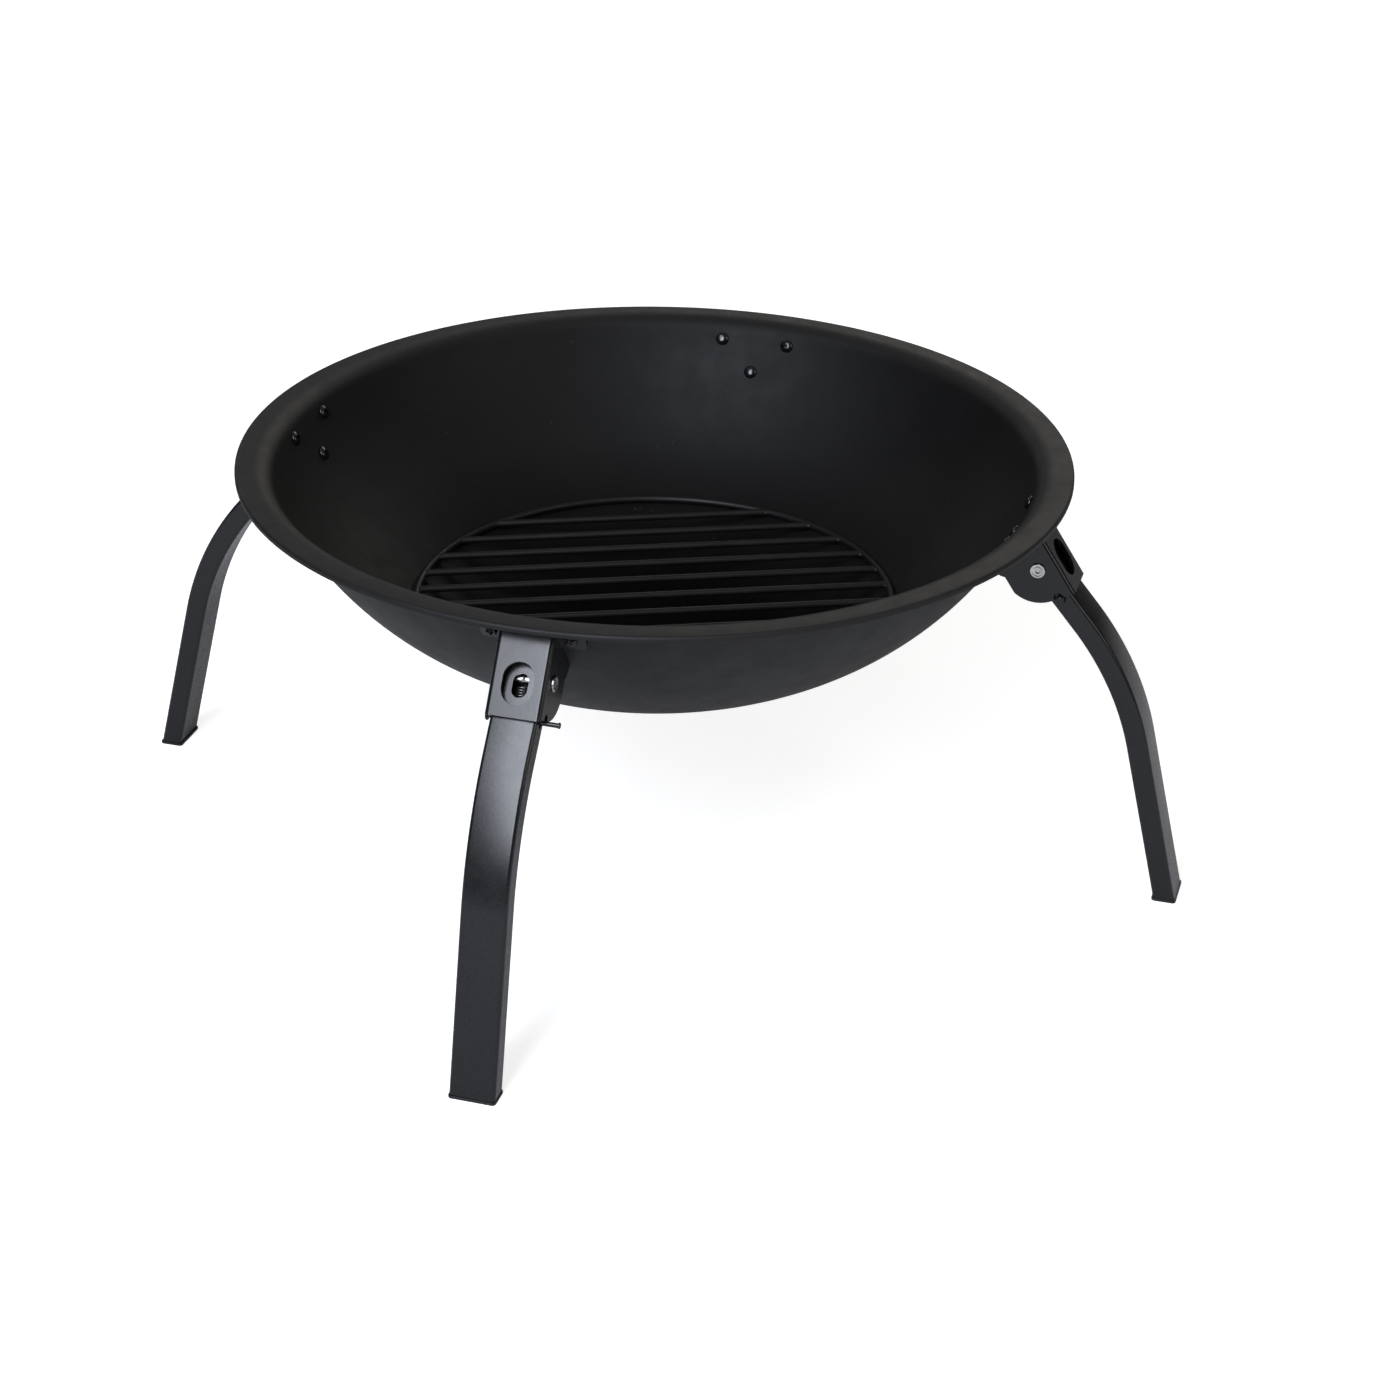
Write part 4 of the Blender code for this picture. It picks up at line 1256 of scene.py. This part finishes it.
@dataclass
class Bracket:
    """A bent bracket: web with an oval window, two ears, a back plate and a flange outside each ear."""

    plan: StationPlan
    dish: Dish
    bend: float = 3.0 * MM
    web_out: float = 13.806 * MM
    web_reach: float = 25.2 * MM
    ear_reach: float = 23.7 * MM
    top_drop: float = 10.5 * MM
    ear_back: float = 22.1 * MM
    step_rise: float = 5.0 * MM
    step: float = 2.4 * MM
    rim: float = 23.2 * MM
    notch: Point = (3.0 * MM, 22.4 * MM)
    window: Point = (20.0 * MM, 26.5 * MM)
    window_drop: float = 4.2 * MM
    flange_reach: float = 9.0 * MM
    flange_below: float = 10.5 * MM
    flange_above: float = 3.6 * MM
    flange_corner: float = 2 * MM
    plate_below: float = 11 * MM
    plate_above: float = 13 * MM
    edge: float = 0.35 * MM
    blank_length: float = 150 * MM
    blank_reach: float = 60 * MM
    run_in: float = 30 * MM

    def web_point(self, down: float, out: float) -> Point:
        """(Radius, height) of a point given down along the web and out from it."""
        point = self.plan.pivot + self.plan.web_down * down + self.plan.web_face * out
        return point.x, point.z

    def side_outline(self) -> list[Point]:
        """Draw the side view of web and ears, run on into the bowl.

        Returns:
            Its (radius, height) points.
        """
        plan = self.plan
        top = self.dish.rim_height - self.top_drop
        low = self.web_point(self.web_reach, self.web_out)
        high = (low[0] - (top - low[1]) * math.tan(plan.bracket_lean), top)
        side = self.notch[1] * math.sin(plan.thigh_angle - plan.bracket_lean)
        start = math.asin(side / self.rim)
        end = -math.asin(self.ear_back / self.rim)
        rim = [self.web_point(down, out) for down, out in arc((0.0, 0.0), self.rim, start, end, 32)]
        step_low = self.web_point(-self.step_rise, -self.ear_back)
        step_high = self.web_point(-self.step_rise - self.step, -self.ear_back - self.step)
        centre = self.dish.centre
        turn = math.atan2(step_high[0] - centre[0], centre[1] - step_high[1])
        inside = self.dish.point(turn, -self.run_in)
        ear_low = self.web_point(self.ear_reach, side)
        return [high, low, ear_low, *rim, step_low, step_high, inside, (inside[0], top)]

    def model_channel(self) -> bpy.types.Object:
        """Extrude the ears from the web, bend the corners and give the sheet its thickness.

        Returns:
            The channel, longer and deeper than the bracket.
        """
        plan = self.plan
        clear_selection()
        bpy.ops.mesh.primitive_plane_add(size=1)
        channel = bpy.context.object
        channel.scale = (self.blank_length, 2 * plan.ear_outside, 1)
        bpy.ops.object.transform_apply(scale=True)
        side = 0.99 * plan.ear_outside
        with editing(channel, "EDGE"):
            select_edges(channel, lambda a, b: abs(a.y) > side and abs(a.y - b.y) < MM)
            bpy.ops.mesh.extrude_edges_move(TRANSFORM_OT_translate={"value": (0, 0, -self.blank_reach)})
            bpy.ops.mesh.select_all(action="DESELECT")
            select_edges(channel, lambda a, b: abs(a.y) > side
                         and max(abs(a.z), abs(b.z), abs(a.y - b.y)) < MM)
            bpy.ops.mesh.bevel(offset=self.bend, segments=8, affect="EDGES")
            bpy.ops.mesh.select_all(action="SELECT")
            bpy.ops.mesh.normals_make_consistent(inside=False)
        face_up(channel, lambda place: place.length)
        apply_modifier(channel, "SOLIDIFY", thickness=plan.bracket_sheet, offset=-1, use_even_offset=True,
                       use_rim=True)
        face = plan.pivot + plan.web_face * self.web_out
        return put(channel, square(plan.web_down, plan.tangent, face))

    def plates(self) -> list[bpy.types.Object]:
        """Model the two flanges and the back plate, which lie against the bowl.

        Returns:
            The three plates.
        """
        sheet = self.plan.bracket_sheet
        seat = Matrix.Translation((0, 0, -GAP - sheet / 2))
        places = self.plan.bolts(self.dish)
        middle = self.plan.ear_inside + sheet / 2
        inward = self.plan.bolt_spread - middle
        size = (inward + self.flange_reach, self.flange_below + self.flange_above, sheet)
        rise = (self.flange_above - self.flange_below) / 2
        made = []
        for place, side in zip(places, (-1, 1)):
            centre = ((self.flange_reach - inward) / 2 * side, rise, 0)
            placing = place @ seat @ Matrix.Translation(centre)
            made.append(block("flange", size, placing, self.flange_corner, 6))
        size = (2 * middle, self.plate_below + self.plate_above, sheet)
        rise = (self.plate_above - self.plate_below) / 2
        made.append(block("back_plate", size, places[2] @ seat @ Matrix.Translation((0, rise, 0))))
        return made

    def bowl_space(self) -> bpy.types.Object:
        """Model all that the bowl takes up, grown by the gap.

        Returns:
            The space, as a cutter.
        """
        dish = self.dish
        under = [point for point in dish.section(GAP) if point[0] <= dish.bend_centre[0] + GAP]
        top = 2 * dish.rim_height
        outer = dish.rim_radius
        profile = [(0.0, top), (outer, top), (outer, under[-1][1]), *under[::-1]]
        return turn_profile("bowl_space", profile, dish.round_steps)

    def build(self, finishes: FinishShelf) -> None:
        """Model the bracket and dress it at all four stations.

        Args:
            finishes: The finishes to choose from.
        """
        plan = self.plan
        sheet = plan.bracket_sheet
        bracket = self.model_channel()
        side_view = square(Vector((1, 0, 0)), Vector((0, 0, 1)), Vector((0, 0, 0)))
        outline = prism("side_outline", self.side_outline(), 3 * plan.ear_outside, side_view)
        combine(bracket, outline, "INTERSECT")
        for plate in self.plates():
            combine(bracket, plate, "UNION")
        combine(bracket, self.bowl_space())
        for place in plan.bolts(self.dish):
            combine(bracket, rod("bolt_hole", plan.bolt_radius + GAP, 8 * sheet, place, 32))
        across = square(Vector((1, 0, 0)), Vector((0, 0, 1)), plan.pivot)
        length = 4 * plan.ear_outside
        combine(bracket, rod("pivot_hole", plan.barrel_radius + GAP, length, across))
        radius, reach = self.notch
        across.translation = plan.pivot + plan.thigh * reach
        combine(bracket, rod("notch", radius, length, across))
        width, length = self.window
        face = plan.pivot + plan.web_face * self.web_out + plan.web_down * self.window_drop
        placing = square(plan.web_down, plan.tangent, face)
        combine(bracket, block("window", (length, width, 3 * sheet), placing, width / 2, 20))
        break_edges(bracket, self.edge, 3, 45)
        finish_stations(smooth(bracket), "bracket", finishes.bracket, Slot.BLACK_STEEL, ROOT)


@dataclass
class Fasteners:
    """The bolts and nuts that hold a bracket to the bowl."""

    plan: StationPlan
    dish: Dish
    spots: tuple[str, ...] = ("upper_far", "upper_near", "lower")
    thread_depth: float = 0.4 * MM
    thread_pitch: float = 0.8 * MM
    head_radius: float = 4.75 * MM
    head_height: float = 2.7 * MM
    head_side: float = 0.55 * MM
    head_chamfer: float = 0.3 * MM
    head_flat: float = 0.35
    socket: float = 3.0 * MM
    socket_depth: float = 2.0 * MM
    nut_flats: float = 8.0 * MM
    nut_height: float = 4.0 * MM
    nut_slope: float = 0.58
    nut_edge: float = 0.12 * MM
    bore_gap: float = 0.1 * MM
    end: float = 2.2 * MM
    end_chamfer: Point = (0.3 * MM, 0.2 * MM)

    def model_bolt(self) -> bpy.types.Object:
        """Model a button head with a hexagon socket, and a shank with thread ridges at its end.

        Returns:
            The bolt, with its axis on Z and the bowl's underside at the origin.
        """
        radius = self.plan.bolt_radius
        seat = self.dish.sheet + GAP
        top = seat + self.head_height
        side = seat + self.head_side
        reach = self.head_height - self.head_side
        crown = arc((0.0, 0.0), 1.0, math.pi / 2, 0, 12)
        dome = [(out * self.head_radius, side + up * reach) for out, up in crown if out > self.head_flat]
        height = -2 * GAP - self.plan.bracket_sheet
        end = height - self.nut_height - self.end
        root = radius - self.thread_depth
        ridges = []
        while height > end + self.thread_pitch:
            ridges += [(radius, height), (root, height - self.thread_pitch / 2)]
            height -= self.thread_pitch
        inset, rise = self.end_chamfer
        profile = [(0.0, top), *dome, (self.head_radius - self.head_chamfer, seat), (radius, seat), *ridges,
                   (root, end + rise), (root - inset, end), (0.0, end)]
        bolt = turn_profile("bolt_fine", profile, 40)
        place = Matrix.Translation((0, 0, top))
        combine(bolt, rod("socket", corner_radius(self.socket), 2 * self.socket_depth, place, 6))
        return smooth(bolt, 30, weighted=False)

    def model_nut(self) -> bpy.types.Object:
        """Model a hexagon nut with chamfered corners and a bore.

        Returns:
            The nut, in its place on the bolt.
        """
        top = -(2 * GAP + self.plan.bracket_sheet)
        middle = Matrix.Translation((0, 0, top - self.nut_height / 2))
        corner = corner_radius(self.nut_flats)
        nut = rod("nut_fine", corner, self.nut_height, middle, 6)
        flat = self.nut_flats / 2
        half = self.nut_height / 2
        side = half - (corner - flat) * self.nut_slope
        wide = corner + 10 * WELD
        barrel = [(0.0, half), (flat, half), (wide, side), (wide, -side), (flat, -half), (0.0, -half)]
        combine(nut, put(turn_profile("chamfer", barrel, 64), middle), "INTERSECT")
        combine(nut, rod("bore", self.plan.bolt_radius + self.bore_gap, 2 * self.nut_height, middle, 32))
        break_edges(nut, self.nut_edge, 2, 40)
        return smooth(nut)

    def build(self, finishes: FinishShelf) -> None:
        """Model one bolt and one nut and dress them at every hole.

        Args:
            finishes: The finishes to choose from.
        """
        for make, word in ((self.model_bolt, "bolt"), (self.model_nut, "nut")):
            pattern = make()
            for spot, place in zip(self.spots, self.plan.bolts(self.dish)):
                piece = copy_to(pattern, place)
                finish_stations(piece, f"{spot}_{word}", finishes.gloss, Slot.DARK_STEEL, ROOT)
            bpy.data.objects.remove(pattern)


@dataclass
class Pivot:
    """The barrel that a leg turns on, and the screw that holds it."""

    plan: StationPlan
    head_radius: float = 5.0 * MM
    head_height: float = 1.2 * MM
    head_edge: float = 0.45 * MM
    socket: float = 3.2 * MM
    socket_depth: float = 1.1 * MM
    groove: Point = (2.8 * MM, 3.7 * MM)
    groove_depth: float = 0.6 * MM
    slope: float = 0.1 * MM
    screw_grip: float = 12 * MM
    barrel_wall: float = 0.8 * MM

    def head(self) -> list[Point]:
        """Draw a flat head with a turned groove and a rounded edge.

        Returns:
            Its (radius, height) points, from its middle to its underside.
        """
        base = self.plan.ear_outside + GAP
        top = base + self.head_height
        floor = top - self.groove_depth
        inner, outer = self.groove
        groove = [(inner, top), (inner + self.slope, floor), (outer - self.slope, floor), (outer, top)]
        edge = self.head_edge
        upper = arc((self.head_radius - edge, top - edge), edge, math.pi / 2, 0, 5)
        under = [(self.head_radius, base + self.slope), (self.head_radius - self.slope, base)]
        return [(0.0, top), *groove, *upper, *under]

    def build(self, finishes: FinishShelf) -> None:
        """Model barrel and screw and dress them at all four stations.

        Args:
            finishes: The finishes to choose from.
        """
        plan = self.plan
        base, end = plan.ear_outside + GAP, -plan.ear_outside
        radius = plan.barrel_radius
        bore = radius - self.barrel_wall
        bottom = end + self.screw_grip + GAP
        profile = [*self.head(), (radius, base), (radius, end), (bore, end), (bore, bottom), (0.0, bottom)]
        barrel = turn_profile("barrel", profile, 64)
        put(barrel, square(Vector((1, 0, 0)), Vector((0, 0, -1)), plan.pivot))
        finish_stations(smooth(barrel, 40, False), "pivot_barrel", finishes.zinc, Slot.ZINC, ROOT)
        shank = bore - GAP
        tip = plan.ear_outside - self.screw_grip
        screw = turn_profile("screw", [*self.head(), (shank, base), (shank, tip), (0.0, tip)], 64)
        place = Matrix.Translation((0, 0, base + self.head_height))
        combine(screw, rod("socket", corner_radius(self.socket), 2 * self.socket_depth, place, 6))
        put(screw, square(Vector((1, 0, 0)), Vector((0, 0, 1)), plan.pivot))
        finish_stations(smooth(screw, 40, False), "pivot_screw", finishes.zinc, Slot.ZINC, ROOT)


@dataclass
class Lock:
    """The cross pin and the spring that draws it into the ears' notches."""

    plan: StationPlan
    button_radius: float = 1.9 * MM
    button_height: float = 1.0 * MM
    button_edge: float = 0.35 * MM
    head_radius: float = 3.0 * MM
    head_height: float = 1.4 * MM
    wire: float = 0.6 * MM
    coil: float = 3.9 * MM
    pitch: float = 1.65 * MM
    coil_start: float = 5.2 * MM
    curls: float = 7.5
    curl_steps: int = 28
    hook_steps: int = 16

    def model_pin(self) -> bpy.types.Object:
        """Model the pin, with a small button on its long end and a round head on its short one.

        Returns:
            The pin.
        """
        low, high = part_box("right_lock_pin")
        radius = self.plan.pin_radius
        edge = self.button_edge
        neck = high.y - self.button_height
        seat = low.y + self.head_height
        dome = self.head_height / 2
        button = arc((self.button_radius - edge, high.y - edge), edge, math.pi / 2, 0, 4)
        head = arc((self.head_radius - dome, low.y + dome), dome, 0, -math.pi / 2, 6)
        shank = [(radius, neck - self.button_radius + radius), (radius, seat)]
        profile = [(0.0, high.y), *button, (self.button_radius, neck), *shank, (self.head_radius, seat),
                   *head, (0.0, low.y)]
        pin = turn_profile("pin", profile, 40)
        put(pin, square(Vector((1, 0, 0)), Vector((0, 0, -1)), self.plan.pin))
        return smooth(pin, 40, False)

    def spring_points(self) -> list[Vector]:
        """Draw the wire's middle line: a hook round the barrel, the coil, and a hook round the pin.

        Returns:
            Its points.
        """
        plan = self.plan
        reach = (plan.pin - plan.pivot).length
        top = plan.barrel_radius + GAP + self.wire
        low = plan.pin_radius + GAP + self.wire
        lead = 2 * self.wire
        points = [(lead, top, 0.0)]
        points += [(-y, x, 0.0) for x, y in arc((0, 0), top, 0, math.pi, self.hook_steps)]
        count = round(self.curls * self.curl_steps)
        length = self.curls * self.pitch
        for index in range(count + 1):
            turn = math.tau * self.curls * index / count
            along = self.coil_start + length * index / count
            points.append((along, -self.coil * math.cos(turn), self.coil * math.sin(turn)))
        points += [(reach + y, x, 0.0) for x, y in arc((0, 0), low, 0, math.pi, self.hook_steps)]
        points.append((reach - lead, -low, 0.0))
        pivot, down, out, side = plan.pivot, plan.thigh, plan.thigh_face, plan.tangent
        return [pivot + down * a + out * b + side * c for a, b, c in points]

    def model_spring(self) -> bpy.types.Object:
        """Lay the wire along its middle line.

        Returns:
            The spring.
        """
        curve = bpy.data.curves.new("spring", "CURVE")
        curve.dimensions = "3D"
        curve.bevel_depth = self.wire
        curve.bevel_resolution = 3
        curve.use_fill_caps = True
        points = self.spring_points()
        spline = curve.splines.new("POLY")
        spline.points.add(len(points) - 1)
        for point, place in zip(spline.points, points):
            point.co = (*place, 1)
        spring = bpy.data.objects.new("spring", curve)
        bpy.context.scene.collection.objects.link(spring)
        take(spring)
        bpy.ops.object.convert(target="MESH")
        spring = bpy.context.object
        with editing(spring, everything=True):
            bpy.ops.mesh.remove_doubles(threshold=WELD)
            bpy.ops.mesh.normals_make_consistent(inside=False)
        return smooth(spring, 60, False)

    def build(self, finishes: FinishShelf) -> None:
        """Model pin and spring and dress them at all four stations.

        Args:
            finishes: The finishes to choose from.
        """
        finish_stations(self.model_pin(), "lock_pin", finishes.gloss, Slot.DARK_STEEL, "{}_pin_body")
        plan = self.plan
        coil_top = plan.pivot + plan.thigh * self.coil_start
        hook_top = plan.pin - plan.thigh * (plan.pin_radius + 2 * GAP + 2 * self.wire)
        stretch = Stretch("{}_pin_body", coil_top, hook_top)
        finish_stations(self.model_spring(), "lock_spring", finishes.spring, Slot.SPRING_STEEL, "{}_leg_body",
                        stretch)


# Studio


@dataclass(frozen=True)
class SoftBox:
    """A flat lamp that faces a point."""

    name: str
    place: Triple
    aim: Triple
    size: Point
    power: float
    colour: Colour = (1.0, 1.0, 1.0)
    roll: float = 0.0

    def light(self) -> None:
        """Hang the lamp."""
        lamp = bpy.data.lights.new(self.name, "AREA")
        lamp.shape = "RECTANGLE"
        lamp.size, lamp.size_y = self.size
        lamp.energy = self.power
        lamp.color = self.colour
        holder = bpy.data.objects.new(self.name, lamp)
        bpy.context.scene.collection.objects.link(holder)
        holder.location = self.place
        turn = (Vector(self.aim) - Vector(self.place)).to_track_quat("-Z", "Y")
        holder.rotation_euler = (turn @ Quaternion((0, 0, 1), self.roll)).to_euler()


@dataclass
class Studio:
    """Floor, light and camera."""

    camera_place: Triple = (0.5469, -1.7992, 1.0745)
    yaw: float = math.radians(15.919)
    pitch: float = math.radians(27.657)
    roll: float = math.radians(-0.88)
    lens: float = 78.0
    sensor: float = 36.0
    clip: Point = (0.05, 100.0)
    sky: float = 0.28
    horizon: float = 0.03
    sky_starts_at: float = 0.3
    sky_full_at: float = 0.8
    floor_size: float = 40.0
    floor_colour: float = 0.75
    floor_roughness: float = 0.8
    floor_lift: float = 0.72
    boxes: tuple[SoftBox, ...] = (
        SoftBox("key_box", (-0.359, -2.543, 1.999), (0.39, -0.543, 0.099), (1.06, 2.35), 92,
                (0.93, 0.98, 1.1), math.radians(27)),
        SoftBox("back_box", (0.3, 3.6, 2.1), (0.0, 0.0, 0.3), (3.2, 1.2), 24, (1.05, 1.0, 0.94)),
        SoftBox("right_box", (2.6, -0.6, 1.5), (0.0, 0.0, 0.2), (1.2, 1.4), 13, (1.04, 1.0, 0.95)),
        SoftBox("back_left_box", (-2.4, 2.4, 1.6), (0.0, 0.0, 0.2), (1.2, 1.4), 5),
    )

    def set_world(self) -> None:
        """A white backdrop to the camera; to everything else a soft sky that dims towards the horizon."""
        world = bpy.data.worlds.new("studio")
        bpy.context.scene.world = world
        world.use_nodes = True
        tree = world.node_tree
        sky = tree.nodes["Background"]
        sky.inputs["Color"].default_value = (1, 1, 1, 1)
        way = tree.nodes.new("ShaderNodeTexCoord")
        split = tree.nodes.new("ShaderNodeSeparateXYZ")
        rise = tree.nodes.new("ShaderNodeMapRange")
        rise.inputs["From Min"].default_value = self.sky_starts_at
        rise.inputs["From Max"].default_value = self.sky_full_at
        rise.inputs["To Min"].default_value = self.horizon
        rise.inputs["To Max"].default_value = self.sky
        tree.links.new(way.outputs["Generated"], split.inputs["Vector"])
        tree.links.new(split.outputs["Z"], rise.inputs["Value"])
        tree.links.new(rise.outputs["Result"], sky.inputs["Strength"])
        white = tree.nodes.new("ShaderNodeBackground")
        white.inputs["Color"].default_value = (1, 1, 1, 1)
        white.inputs["Strength"].default_value = 1.0
        path = tree.nodes.new("ShaderNodeLightPath")
        mix = tree.nodes.new("ShaderNodeMixShader")
        tree.links.new(path.outputs["Is Camera Ray"], mix.inputs["Fac"])
        tree.links.new(sky.outputs["Background"], mix.inputs[1])
        tree.links.new(white.outputs["Background"], mix.inputs[2])
        tree.links.new(mix.outputs["Shader"], tree.nodes["World Output"].inputs["Surface"])

    def lay_floor(self) -> None:
        """A pale plain floor that the camera sees lifted to white, with the object's shadow on it."""
        clear_selection()
        bpy.ops.mesh.primitive_plane_add(size=self.floor_size)
        floor = bpy.context.object
        floor.name = "studio_floor"
        material = bpy.data.materials.new("studio_floor")
        material.use_nodes = True
        shader = material.node_tree.nodes["Principled BSDF"]
        shader.inputs["Base Color"].default_value = (self.floor_colour,) * 3 + (1,)
        shader.inputs["Roughness"].default_value = self.floor_roughness
        shader.inputs["Specular IOR Level"].default_value = 0.0
        shader.inputs["Emission Color"].default_value = (1, 1, 1, 1)
        tree = material.node_tree
        path = tree.nodes.new("ShaderNodeLightPath")
        lift = tree.nodes.new("ShaderNodeMath")
        lift.operation = "MULTIPLY"
        lift.inputs[1].default_value = self.floor_lift
        tree.links.new(path.outputs["Is Camera Ray"], lift.inputs[0])
        tree.links.new(lift.outputs["Value"], shader.inputs["Emission Strength"])
        floor.data.materials.append(material)

    def set_camera(self) -> None:
        """Stand the camera where the photograph was taken from."""
        level = math.cos(self.pitch)
        ahead = Vector((-math.sin(self.yaw) * level, math.cos(self.yaw) * level, -math.sin(self.pitch)))
        right = Vector((math.cos(self.yaw), math.sin(self.yaw), 0))
        down = ahead.cross(right)
        rolled_right = right * math.cos(self.roll) + down * math.sin(self.roll)
        rolled_down = down * math.cos(self.roll) - right * math.sin(self.roll)
        data = bpy.data.cameras.new("camera")
        data.lens = self.lens
        data.sensor_width = self.sensor
        data.clip_start, data.clip_end = self.clip
        camera = bpy.data.objects.new("camera", data)
        bpy.context.scene.collection.objects.link(camera)
        camera.matrix_world = square(rolled_right, -rolled_down, Vector(self.camera_place))
        bpy.context.scene.camera = camera

    def build(self) -> None:
        """Set up the whole studio."""
        self.set_world()
        self.lay_floor()
        for box in self.boxes:
            box.light()
        self.set_camera()
        bpy.context.scene.view_settings.view_transform = "Standard"


def main() -> None:
    """Build every sub-assembly in order, then the studio."""
    logging.basicConfig(level=logging.INFO, format="%(message)s")
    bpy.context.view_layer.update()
    finishes = FinishShelf()
    dish = Dish()
    plan = StationPlan()
    Bowl(dish).build(finishes)
    Grate().build(finishes)
    Leg(plan).build(finishes)
    Bracket(plan, dish).build(finishes)
    Fasteners(plan, dish).build(finishes)
    Pivot(plan).build(finishes)
    Lock(plan).build(finishes)
    Studio().build()
    bpy.context.view_layer.update()


if __name__ == "__main__":
    main()
